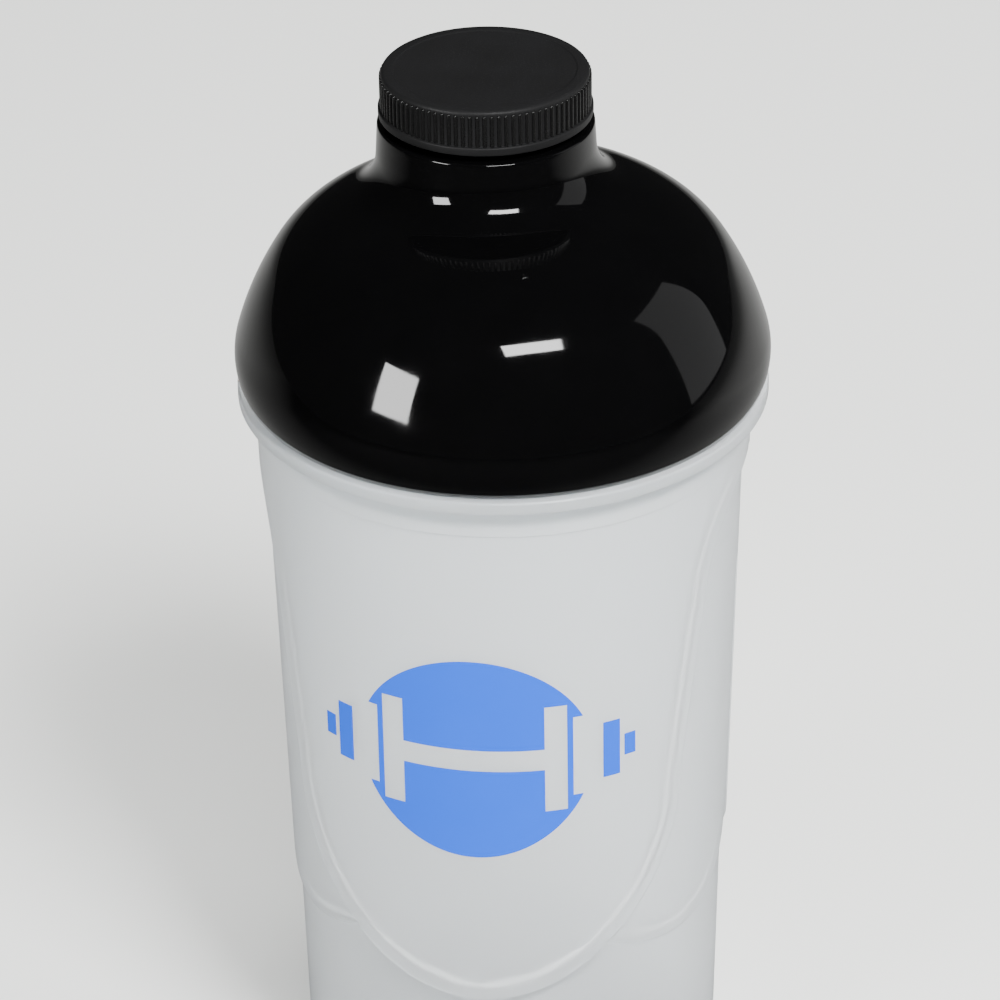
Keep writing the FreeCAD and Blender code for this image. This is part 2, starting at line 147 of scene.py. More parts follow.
class Skin:
    """A mesh under construction: rings, patches and caps that are welded when it is built."""

    def __init__(self) -> None:
        """Start with nothing."""
        self.points: list[Points] = []
        self.faces: list[tuple[int, ...]] = []
        self.count = 0

    def add(self, points: Points) -> np.ndarray:
        """Add points to the mesh.

        Args:
            points: Their places in millimetres.

        Returns:
            Their numbers.
        """
        self.points.append(np.asarray(points, float))
        numbers = np.arange(self.count, self.count + len(points))
        self.count += len(points)
        return numbers

    def loft(self, rings: Sequence[Points], close: bool = False) -> None:
        """Join rings of equally many points with quads.

        Args:
            rings: The rings in order.
            close: Whether the last ring joins the first.
        """
        numbered = [self.add(ring) for ring in rings]
        pairs = list(zip(numbered, numbered[1:]))
        if close:
            pairs.append((numbered[-1], numbered[0]))
        for low, high in pairs:
            self.faces += [
                (low[i], low[i - len(low) + 1], high[i - len(low) + 1], high[i]) for i in range(len(low))]

    def turn(self, outline: Outline, centre: Axis = (0.0, 0.0), close: bool = False) -> None:
        """Turn an outline about a vertical axis; a radius of 0 at either end becomes a pole.

        Args:
            outline: Radii and levels, in order.
            centre: Where the axis stands.
            close: Whether the last ring joins the first.
        """
        rings = [(radius, level) for radius, level in outline if radius > 0]
        self.loft([circle(radius, level, centre) for radius, level in rings], close)
        for end, beside in ((outline[0], rings[0]), (outline[-1], rings[-1])):
            if end[0] == 0:
                self.cap(circle(beside[0], beside[1], centre), Vector((*centre, end[1] + EDGE_Z)))

    def cap(self, ring: Points, apex: Vector) -> None:
        """Close a ring with a fan of triangles about a point.

        Args:
            ring: The ring's points.
            apex: The point.
        """
        edge = self.add(ring)
        tip = self.add(np.array([apex]))[0]
        self.faces += [(edge[i], edge[i - len(edge) + 1], tip) for i in range(len(edge))]

    def build(self, name: str, sharp_degrees: float = 40.0) -> bpy.types.Object:
        """Weld everything and make the object.

        Args:
            name: The piece's name.
            sharp_degrees: Edges sharper than this are not smoothed over.

        Returns:
            The new object, at the origin, with its place in its mesh.
        """
        mesh = bpy.data.meshes.new(name)
        points = np.concatenate(self.points) * MM
        mesh.from_pydata(points.tolist(), [], [tuple(int(i) for i in face) for face in self.faces])
        return finish_mesh(mesh, name, sharp_degrees)


def finish_mesh(mesh: bpy.types.Mesh, name: str, sharp_degrees: float = 40.0) -> bpy.types.Object:
    """Weld a mesh, face it outwards, smooth it and link its object.

    Args:
        mesh: The mesh.
        name: The piece's name.
        sharp_degrees: Edges sharper than this are not smoothed over.

    Returns:
        The new object.
    """
    work = bmesh.new()
    work.from_mesh(mesh)
    bmesh.ops.remove_doubles(work, verts=work.verts, dist=WELD)
    bmesh.ops.dissolve_degenerate(work, edges=work.edges, dist=WELD / 2)
    bmesh.ops.recalc_face_normals(work, faces=work.faces)
    work.to_mesh(mesh)
    work.free()
    mesh.shade_smooth()
    mesh.set_sharp_from_angle(angle=math.radians(sharp_degrees))
    piece = bpy.data.objects.new(name, mesh)
    bpy.context.scene.collection.objects.link(piece)
    return piece


def settle(piece: bpy.types.Object, body: Body, slot: str, finish: bpy.types.Material, *nodes: str) -> None:
    """Give a finished piece its material, its body and the CAD nodes it stands for.

    Args:
        piece: The piece.
        body: The body it rides on.
        slot: Not used.
        finish: Its material.
        *nodes: The CAD nodes it replaces.
    """
    piece.data.materials.clear()
    piece.data.materials.append(finish)
    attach(piece, body.value)
    if nodes:
        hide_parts(*nodes)
    LOG.info("%s rides on %s: %d faces", piece.name, body.value, len(piece.data.polygons))


@dataclass(frozen=True)
class Thread:
    """A helical ridge of rounded trapezoid section.

    The ridge stands out when its crest is wider than its root and in when it is narrower.
    """

    root_r: float
    crest_r: float
    foot: float
    lead: float
    start: float
    rise: float
    angle: float = 0.0          # degrees counter-clockwise from +X where the ridge begins
    centre: Axis = (0.0, 0.0)
    run_in: float = 14.0        # degrees over which each end grows to full height
    steps_a_turn: int = 90
    sink: float = 0.25          # how far the foot lies inside its wall

    def add_to(self, skin: Skin) -> None:
        """Add the ridge to a skin as a closed shell.

        Args:
            skin: The skin to add to.
        """
        turns = self.rise / self.lead
        steps = max(12, int(turns * self.steps_a_turn))
        sunk = math.copysign(self.sink, self.crest_r - self.root_r)
        rings = []
        for step in range(steps + 1):
            part = step / steps
            degrees = part * turns * 360
            ease = float(smoothstep(np.array(min(degrees, turns * 360 - degrees) / self.run_in)))
            crest = self.root_r + (self.crest_r - self.root_r) * (0.04 + 0.96 * ease)
            turn = math.radians(self.angle + degrees)
            level = EDGE_Z + self.start + part * self.rise
            section = [
                (self.root_r - sunk, -0.5), (self.root_r, -0.5), (crest * 0.8 + self.root_r * 0.2, -0.36),
                (crest, -0.22), (crest, 0.22), (crest * 0.8 + self.root_r * 0.2, 0.36),
                (self.root_r, 0.5), (self.root_r - sunk, 0.5)]
            rings.append(np.array([
                (self.centre[0] + radius * math.cos(turn), self.centre[1] + radius * math.sin(turn),
                 level + across * self.foot)
                for radius, across in section]))
        skin.loft(rings)
        for end in (rings[0], rings[-1]):
            skin.faces.append(tuple(skin.add(end)))


# --- geometry nodes ---------------------------------------------------------------------------------
class RingArray:
    """A Geometry Nodes tree that repeats a model evenly around a vertical axis."""

    def __init__(self) -> None:
        """Build the tree with its named inputs."""
        tree = bpy.data.node_groups.new("ring_array", "GeometryNodeTree")
        face = tree.interface
        self.inputs = {
            name: face.new_socket(name, in_out="INPUT", socket_type=kind)
            for name, kind in (("Model", "NodeSocketObject"), ("Count", "NodeSocketInt"),
                               ("Axis", "NodeSocketVector"), ("Finish", "NodeSocketMaterial"))}
        face.new_socket("Geometry", in_out="OUTPUT", socket_type="NodeSocketGeometry")
        new, link = tree.nodes.new, tree.links.new
        given, result = new("NodeGroupInput"), new("NodeGroupOutput")
        places, number = new("GeometryNodePoints"), new("GeometryNodeInputIndex")
        step, turn, spin = new("ShaderNodeMath"), new("ShaderNodeMath"), new("ShaderNodeCombineXYZ")
        model, copies = new("GeometryNodeObjectInfo"), new("GeometryNodeInstanceOnPoints")
        real, weld = new("GeometryNodeRealizeInstances"), new("GeometryNodeMergeByDistance")
        move, paint = new("GeometryNodeTransform"), new("GeometryNodeSetMaterial")
        step.operation, turn.operation = "DIVIDE", "MULTIPLY"
        step.inputs[0].default_value = FULL_TURN
        weld.inputs["Distance"].default_value = WELD
        link(given.outputs["Count"], places.inputs["Count"])
        link(given.outputs["Count"], step.inputs[1])
        link(step.outputs[0], turn.inputs[0])
        link(number.outputs[0], turn.inputs[1])
        link(turn.outputs[0], spin.inputs["Z"])
        link(given.outputs["Model"], model.inputs["Object"])
        link(places.outputs[0], copies.inputs["Points"])
        link(model.outputs["Geometry"], copies.inputs["Instance"])
        link(spin.outputs[0], copies.inputs["Rotation"])
        link(copies.outputs[0], real.inputs[0])
        link(real.outputs[0], weld.inputs[0])
        link(weld.outputs[0], move.inputs[0])
        link(given.outputs["Axis"], move.inputs["Translation"])
        link(move.outputs[0], paint.inputs["Geometry"])
        link(given.outputs["Finish"], paint.inputs["Material"])
        link(paint.outputs[0], result.inputs[0])
        self.tree = tree

    def repeat(self, model: bpy.types.Object, count: int, name: str, finish: bpy.types.Material,
               centre: Axis = (0.0, 0.0)) -> bpy.types.Mesh:
        """Repeat a model around a vertical axis and give the plain mesh.

        Args:
            model: One copy, placed about the origin's axis; it is removed afterwards.
            count: How many copies.
            name: The mesh's name.
            finish: The material set by the tree.
            centre: Where the axis stands, in millimetres.

        Returns:
            The mesh of all the copies.
        """
        holder = bpy.data.objects.new(name, bpy.data.meshes.new(name + "_seed"))
        bpy.context.scene.collection.objects.link(holder)
        modifier = holder.modifiers.new("repeat", "NODES")
        modifier.node_group = self.tree
        values = {"Model": model, "Count": count, "Axis": (centre[0] * MM, centre[1] * MM, 0.0), "Finish": finish}
        for label, value in values.items():
            modifier[self.inputs[label].identifier] = value
        bpy.context.view_layer.update()
        evaluated = holder.evaluated_get(bpy.context.evaluated_depsgraph_get())
        mesh = bpy.data.meshes.new_from_object(evaluated)
        mesh.name = name
        holder.modifiers.remove(modifier)
        for spare in (holder, model):
            bpy.data.objects.remove(spare)
        return mesh


# --- finishes ---------------------------------------------------------------------------------------
class MouldedSurface:
    """A shader group for moulded plastic: fine grain as a normal, and cloudy roughness."""

    def __init__(self) -> None:
        """Build the group with its named inputs and outputs."""
        group = bpy.data.node_groups.new("moulded_surface", "ShaderNodeTree")
        face = group.interface
        for name, value in (("Grain Scale", 900.0), ("Grain Height", 0.1), ("Wave Scale", 40.0),
                            ("Wave Height", 0.05), ("Roughness Low", 0.1), ("Roughness High", 0.2)):
            face.new_socket(name, in_out="INPUT", socket_type="NodeSocketFloat").default_value = value
        face.new_socket("Roughness", in_out="OUTPUT", socket_type="NodeSocketFloat")
        face.new_socket("Normal", in_out="OUTPUT", socket_type="NodeSocketVector")
        face.new_socket("Cloud", in_out="OUTPUT", socket_type="NodeSocketFloat")
        new, link = group.nodes.new, group.links.new
        given, result, place = new("NodeGroupInput"), new("NodeGroupOutput"), new("ShaderNodeTexCoord")
        grain, wave, cloud = (new("ShaderNodeTexNoise") for _ in range(3))
        grain_bump, wave_bump, spread = new("ShaderNodeBump"), new("ShaderNodeBump"), new("ShaderNodeMapRange")
        for noise, scale in ((grain, "Grain Scale"), (wave, "Wave Scale")):
            link(place.outputs["Object"], noise.inputs["Vector"])
            link(given.outputs[scale], noise.inputs["Scale"])
        link(place.outputs["Object"], cloud.inputs["Vector"])
        cloud.inputs["Scale"].default_value = 90.0
        cloud.inputs["Detail"].default_value = 6.0
        cloud.inputs["Roughness"].default_value = 0.62
        grain_bump.inputs["Distance"].default_value = 0.1 * MM
        wave_bump.inputs["Distance"].default_value = 1.0 * MM
        link(given.outputs["Wave Height"], wave_bump.inputs["Strength"])
        link(wave.outputs[0], wave_bump.inputs["Height"])
        link(given.outputs["Grain Height"], grain_bump.inputs["Strength"])
        link(grain.outputs[0], grain_bump.inputs["Height"])
        link(wave_bump.outputs[0], grain_bump.inputs["Normal"])
        spread.inputs["From Min"].default_value = 0.35
        spread.inputs["From Max"].default_value = 0.68
        link(cloud.outputs[0], spread.inputs["Value"])
        link(given.outputs["Roughness Low"], spread.inputs["To Min"])
        link(given.outputs["Roughness High"], spread.inputs["To Max"])
        link(spread.outputs[0], result.inputs["Roughness"])
        link(grain_bump.outputs[0], result.inputs["Normal"])
        link(cloud.outputs[0], result.inputs["Cloud"])
        self.group = group


@dataclass(frozen=True)
class Finish:
    """A moulded or printed finish.

    The two colours are mixed by a soft cloud; the named sockets are set on the shader itself.
    """

    name: str
    colour: tuple[float, float, float]
    colour_two: tuple[float, float, float]
    roughness: tuple[float, float]
    grain: tuple[float, float] = (900.0, 0.1)
    wave: tuple[float, float] = (40.0, 0.0)
    sockets: dict[str, float] = field(default_factory=dict)

    def make(self, surface: MouldedSurface) -> bpy.types.Material:
        """Build the material.

        Args:
            surface: The shared group of moulded detail.

        Returns:
            The material, with a Principled shader of its own.
        """
        material = bpy.data.materials.new(self.name)
        material.use_nodes = True
        nodes, link = material.node_tree.nodes, material.node_tree.links.new
        shader = nodes["Principled BSDF"]
        detail = nodes.new("ShaderNodeGroup")
        detail.node_tree = surface.group
        values = {
            "Grain Scale": self.grain[0], "Grain Height": self.grain[1], "Wave Scale": self.wave[0],
            "Wave Height": self.wave[1], "Roughness Low": self.roughness[0], "Roughness High": self.roughness[1]}
        for label, value in values.items():
            detail.inputs[label].default_value = value
        tint = nodes.new("ShaderNodeMix")
        tint.data_type = "RGBA"
        tint.inputs["A"].default_value = (*self.colour, 1.0)
        tint.inputs["B"].default_value = (*self.colour_two, 1.0)
        link(detail.outputs["Cloud"], tint.inputs["Factor"])
        link(tint.outputs["Result"], shader.inputs["Base Color"])
        link(detail.outputs["Roughness"], shader.inputs["Roughness"])
        link(detail.outputs["Normal"], shader.inputs["Normal"])
        for label, value in self.sockets.items():
            shader.inputs[label].default_value = value
        return material


FROSTED = Finish(
    "frosted_polypropylene", (0.94, 0.97, 1.0), (0.96, 0.985, 1.0), (0.30, 0.38),
    grain=(700.0, 0.06), wave=(30.0, 0.02),
    sockets={"IOR": 1.49, "Transmission Weight": 0.78, "Specular IOR Level": 0.5})
GLOSS_BLACK = Finish(
    "gloss_black_polypropylene", (0.0008, 0.0008, 0.0009), (0.0014, 0.0014, 0.0015), (0.03, 0.075),
    grain=(1500.0, 0.004), wave=(55.0, 0.012), sockets={"IOR": 1.5})
MATTE_BLACK = Finish(
    "matte_black_polypropylene", (0.006, 0.006, 0.006), (0.008, 0.008, 0.0085), (0.42, 0.52),
    grain=(2600.0, 0.35), sockets={"IOR": 1.5, "Specular IOR Level": 0.25})
SATIN_BLACK = Finish(
    "satin_black_polypropylene", (0.003, 0.003, 0.003), (0.005, 0.005, 0.005), (0.2, 0.3),
    grain=(2600.0, 0.1), sockets={"IOR": 1.5})
LINER_FOAM = Finish(
    "liner_foam", (0.84, 0.84, 0.82), (0.90, 0.90, 0.88), (0.6, 0.75), grain=(1800.0, 0.4),
    sockets={"Subsurface Weight": 0.2})
SILICONE = Finish(
    "milky_silicone", (0.74, 0.76, 0.76), (0.80, 0.82, 0.82), (0.38, 0.5), grain=(1200.0, 0.1),
    sockets={"Subsurface Weight": 0.3})
NATURAL_WHITE = Finish(
    "natural_polypropylene", (0.84, 0.84, 0.82), (0.88, 0.88, 0.86), (0.35, 0.45), grain=(900.0, 0.08),
    sockets={"Subsurface Weight": 0.2})
BLUE_INK = Finish(
    "satin_blue_ink", (0.0, 0.074, 0.60), (0.0, 0.082, 0.64), (0.36, 0.5), grain=(2200.0, 0.1),
    sockets={"IOR": 1.5, "Specular IOR Level": 0.12})


# --- cup --------------------------------------------------------------------------------------------
@dataclass
class Cup:
    """The translucent cup: a body with raised panels and petals, a stop ring and a threaded neck."""

    wall: float = 1.7
    floor: float = 2.2
    lower: tuple[float, float] = (43.20, 0.0205)      # radius at the lid's edge, taper per mm of depth
    petal: tuple[float, float] = (44.78, 0.0255)
    panel: tuple[float, float] = (45.98, 0.0220)
    panel_half: float = 36.2
    panel_end: float = 71.0
    panel_tip: float = 111.8
    panel_neck: tuple[float, float] = (40.6, 30.0)    # half width and depth
    panel_flare: tuple[float, float] = (42.4, 21.5)
    panel_top: tuple[float, float] = (47.5, 10.0)
    panel_fillet: float = 0.9
    petal_centre: float = 22.0
    petal_end_r: float = 21.0
    petal_end: float = 86.0
    petal_slot: float = 38.0
    petal_fillet: float = 1.5
    field_top: float = -9.2
    field_bottom: float = -118.0
    spacing: float = 3.0                              # between points on the plain parts
    fine: float = 0.9                                 # between points along the steps and the seams
    step_offsets: tuple[float, ...] = (-0.9, -0.5, -0.25, 0.0, 0.25, 0.5, 0.9)   # across a step, in fillets
    step_clear: float = 1.3                           # plain points stay this far from a step's
    seam_clear: float = 0.25                          # and a step's points this far from a seam
    tip_offsets: tuple[float, int] = (1.35, 13)       # reach and number of the seam's points at a panel's tip
    base_corner: float = 5.0
    base_ring: tuple[float, float] = (33.0, 1.2)      # inner radius and depth of the dish
    collar: tuple[float, float] = (46.2, -8.8)
    stop: tuple[float, float, float] = (49.0, -2.9, -0.3)
    neck: tuple[float, float, float] = (44.0, 42.3, 13.0)

    def radius(self, taper: tuple[float, float], level: Points) -> Points:
        """Radius of one of the nested tapers at some levels."""
        return taper[0] + taper[1] * level

    def panel_outline(self) -> Points:
        """Quarter outline of a panel, unrolled, from its tip to the side of the bottle.

        Returns:
            Points of turn from the panel's middle, in radians, and level.
        """
        turn = np.linspace(0, math.pi / 2, 90)
        half = self.panel_half * np.sin(turn)
        depth = self.panel_end + (self.panel_tip - self.panel_end) * np.cos(turn)
        span = np.linspace(0, 1, 40)[1:]
        straight = self.panel_half + (self.panel_neck[0] - self.panel_half) * span
        straight_depth = self.panel_end + (self.panel_neck[1] - self.panel_end) * span
        flare_half, flare_depth = arc_through(self.panel_neck, self.panel_flare, self.panel_top, 60)
        half = np.concatenate([half, straight, flare_half])
        level = -np.concatenate([depth, straight_depth, flare_depth])
        share = half / self.radius(self.panel, level)
        inside = share < 1.0
        angle = np.arcsin(share[inside])
        return np.vstack([np.column_stack([angle, level[inside]]), [(math.pi / 2, level[inside][-1] + 0.4)]])

    def petal_outline(self) -> Points:
        """Quarter outline of a petal, unrolled, from under the panel round to the slot at the side.

        Returns:
            Points of turn and level.
        """
        turn = np.linspace(math.pi, 0, 120)
        across = self.petal_centre + self.petal_end_r * -np.cos(turn)
        depth = self.petal_end + self.petal_end_r * np.sin(turn)
        slot = self.petal_centre - self.petal_end_r
        rise = np.linspace(self.petal_end, self.petal_slot, 50)[1:]
        arch = np.linspace(0, math.pi / 2, 6)[1:]
        across = np.concatenate([across, np.full(len(rise), slot), slot * np.cos(arch)])
        level = -np.concatenate([depth, rise, self.petal_slot - slot * np.sin(arch)])
        return np.column_stack([np.arccos(np.minimum(across / self.radius(self.petal, level), 1.0)), level])

    def relief(self, angle: Points, level: Points, inset: float = 0.0) -> Points:
        """Radius of the outer surface, or of the inner one when inset is the wall.

        Args:
            angle: Turn from the nearest panel's middle, 0 to a quarter turn.
            level: Height above the lid's edge.
            inset: How far inside the outer surface, which also softens the steps.

        Returns:
            The radii.
        """
        soft = 1.0 + 1.2 * inset
        base = self.radius(self.lower, level)
        petals = self.radius(self.petal, level)
        panels = self.radius(self.panel, level)
        petal_in = signed_distance(angle, level, self.petal_outline(), below=False) - inset
        panel_in = signed_distance(angle, level, self.panel_outline(), below=True) - inset
        raised = base + (petals - base) * smoothstep(petal_in / (self.petal_fillet * soft) + 0.5)
        return raised + (panels - raised) * smoothstep(panel_in / (self.panel_fillet * soft) + 0.5) - inset

    def quarter_points(self) -> list[Vector]:
        """Unrolled points of a quarter of the body, dense along the steps.

        Returns:
            Points as arc length at a mean radius, and level.
        """
        width = UNROLL_R * math.pi / 2
        low, high = self.field_bottom, self.field_top
        bands = []
        for outline, fillet in ((self.panel_outline(), self.panel_fillet), (self.petal_outline(), self.petal_fillet)):
            line = resample(np.column_stack([outline[:, 0] * UNROLL_R, outline[:, 1]]), self.fine)
            along = np.gradient(line, axis=0)
            side = np.column_stack([-along[:, 1], along[:, 0]]) / np.linalg.norm(along, axis=1)[:, None]
            bands += [line + side * offset * fillet for offset in self.step_offsets]
        band = np.vstack(bands)
        rows = np.arange(low + self.spacing, high - 0.5, self.spacing)
        plain = np.array([
            (x, level) for row, level in enumerate(rows)
            for x in np.arange(self.spacing * (0.5 + 0.5 * (row % 2)), width - 0.8, self.spacing)])
        plain = plain[nearest(plain, band) > self.step_clear]
        seam = np.arange(low, high, self.fine)
        reach, count = self.tip_offsets
        front_seam = np.concatenate([
            seam[np.abs(seam + self.panel_tip) > reach + 0.15], np.linspace(-reach, reach, count) - self.panel_tip])
        sides = np.array([(0.0, level) for level in front_seam] + [(width, level) for level in seam])
        columns = np.linspace(0, width, AROUND // 4 + 1)
        ends = np.array([(x, level) for x in columns for level in (low, high)])
        inside = (np.abs(band[:, 0] - width / 2) < width / 2 - self.seam_clear) & (
            band[:, 1] > low + 0.4) & (band[:, 1] < high - 0.4)
        together = np.vstack([ends, sides, band[inside], plain])
        return [Vector(point) for point in together]

    def body_faces(self) -> tuple[Points, list[list[int]]]:
        """Triangulate the quarter.

        Returns:
            The unrolled points and the triangles.
        """
        result = delaunay_2d_cdt(self.quarter_points(), [], [], 0, 0.08)
        return np.array([tuple(point) for point in result[0]]), result[2]

    def add_body(self, skin: Skin, flat: Points, faces: list[list[int]], inset: float) -> None:
        """Wrap the triangulated quarter four times round, mirrored.

        Args:
            skin: The skin to add to.
            flat: The unrolled points.
            faces: The quarter's triangles.
            inset: 0 for the outer surface, the wall for the inner one.
        """
        angle = np.clip(flat[:, 0] / UNROLL_R, 0, math.pi / 2)
        radius = self.relief(angle, flat[:, 1], inset)
        for start, way in ((0.0, 1), (math.pi, -1), (math.pi, 1), (FULL_TURN, -1)):
            turn = start + way * angle
            numbers = skin.add(np.column_stack([
                radius * np.sin(turn), -radius * np.cos(turn), flat[:, 1] + EDGE_Z]))
            skin.faces += [tuple(numbers[i] for i in (face if way > 0 else face[::-1])) for face in faces]

    def build(self, finish: bpy.types.Material) -> None:
        """Make the cup with its thread and dress it.

        Args:
            finish: The cup's material.
        """
        skin = Skin()
        flat, faces = self.body_faces()
        self.add_body(skin, flat, faces, 0.0)
        self.add_body(skin, flat, faces, self.wall)
        top, bottom, ground = self.field_top, self.field_bottom, -EDGE_Z
        stop_r, stop_low, stop_high = self.stop
        neck_r, bore_r, rim = self.neck
        join = float(self.radius(self.panel, top))
        skin.turn(rounded([
            (join, top, 0), (join + 0.02, self.collar[1] - 0.15, 0.1), (self.collar[0], self.collar[1] + 0.1, 0.12),
            (self.collar[0], stop_low, 0.5), (stop_r, stop_low, 0.5), (stop_r, stop_high, 0.5),
            (neck_r, stop_high, 0.3), (neck_r, rim, 0.4), (bore_r, rim, 0.4), (bore_r, -3.4, 1.0),
            (join - self.wall, -6.6, 1.0), (join - self.wall, top, 0)]))
        foot = float(self.radius(self.lower, ground))
        start = float(self.radius(self.lower, bottom))
        dish_r, dish = self.base_ring
        skin.turn(rounded([
            (start, bottom, 0), (foot, ground, self.base_corner), (dish_r, ground, 0.6),
            (dish_r - 3 * dish, ground + dish, 1.5), (0, ground + dish, 0)]))
        skin.turn(rounded([
            (start - self.wall, bottom, 0), (foot - self.wall, ground + self.floor, self.base_corner - self.wall),
            (0, ground + self.floor, 0)]))
        for begin in (0.0, 180.0):
            Thread(neck_r, 45.2, CUP_THREAD[1], LID_LEAD, CUP_THREAD[0], rise=8.4, angle=begin).add_to(skin)
        settle(skin.build("cup_shell", 50.0), Body.CUP, "frosted_cup", finish, "cup")


def arc_through(
        first: Sequence[float], middle: Sequence[float], last: Sequence[float], count: int) -> tuple[Points, Points]:
    """Points of the circular arc through three points, without its first point.

    Args:
        first: Where the arc starts.
        middle: A point on it.
        last: Where it ends.
        count: How many points.

    Returns:
        Two arrays, one for each coordinate.
    """
    a, b, c = (np.array(point, float) for point in (first, middle, last))
    system = np.array([b - a, c - a]) * 2
    hub = np.linalg.solve(system, np.array([b @ b - a @ a, c @ c - a @ a]))
    radius = np.linalg.norm(a - hub)
    angles = np.unwrap([math.atan2(*(point - hub)[::-1]) for point in (a, b, c)])
    turn = np.linspace(angles[0], angles[2], count + 1)[1:]
    return hub[0] + radius * np.cos(turn), hub[1] + radius * np.sin(turn)


def resample(line: Points, step: float) -> Points:
    """Points at an even spacing along a line.

    Args:
        line: The line's points.
        step: The spacing.

    Returns:
        The new points.
    """
    length = np.concatenate([[0], np.cumsum(np.linalg.norm(np.diff(line, axis=0), axis=1))])
    places = np.linspace(0, length[-1], max(2, int(length[-1] / step)))
    return np.column_stack([np.interp(places, length, line[:, k]) for k in (0, 1)])


def subdivided(outline: Outline, step: float) -> Outline:
    """Add points to a closed outline so that no side is longer than a step.

    Args:
        outline: The closed outline.
        step: The longest side allowed.

    Returns:
        The finer outline.
    """
    fine: Outline = []
    for (x, z), (x_next, z_next) in zip(outline, list(outline[1:]) + [outline[0]]):
        parts = max(1, math.ceil(math.hypot(x_next - x, z_next - z) / step))
        fine += [(x + (x_next - x) * k / parts, z + (z_next - z) * k / parts) for k in range(parts)]
    return fine


def nearest(points: Points, others: Points) -> Points:
    """Distance from each point to the nearest of some others."""
    return np.array([np.min(np.hypot(*(others - point).T)) for point in points])


def signed_distance(angle: Points, level: Points, outline: Points, below: bool) -> Points:
    """Distance to an unrolled outline, positive on the side of the raised surface.

    Args:
        angle: Turn from the nearest panel's middle.
        level: Height above the lid's edge.
        outline: Points of turn and level.
        below: True when the raised surface is at smaller turns than the outline at its level,
            False when it is above the outline at its turn.

    Returns:
        Distances in millimetres.
    """
    line = np.column_stack([outline[:, 0] * UNROLL_R, outline[:, 1]])
    points = np.column_stack([angle * UNROLL_R, level])
    start, step = line[:-1], np.diff(line, axis=0)
    squared = np.maximum((step ** 2).sum(1), 1e-12)
    best = np.full(len(points), np.inf)
    batch = 512
    for block in range(0, len(points), batch):
        part = points[block:block + batch]
        gap = part[:, None, :] - start[None]
        along = np.clip((gap * step[None]).sum(2) / squared[None], 0, 1)
        best[block:block + batch] = np.hypot(*np.moveaxis(gap - along[..., None] * step[None], 2, 0)).min(1)
    if below:
        limit = np.interp(level, outline[:, 1], outline[:, 0], left=-1.0, right=9.0)
        return np.where(angle < limit, best, -best)
    order = np.argsort(outline[:, 0])
    floor = np.interp(angle, outline[order, 0], outline[order, 1])
    return np.where(level > floor, best, -best)


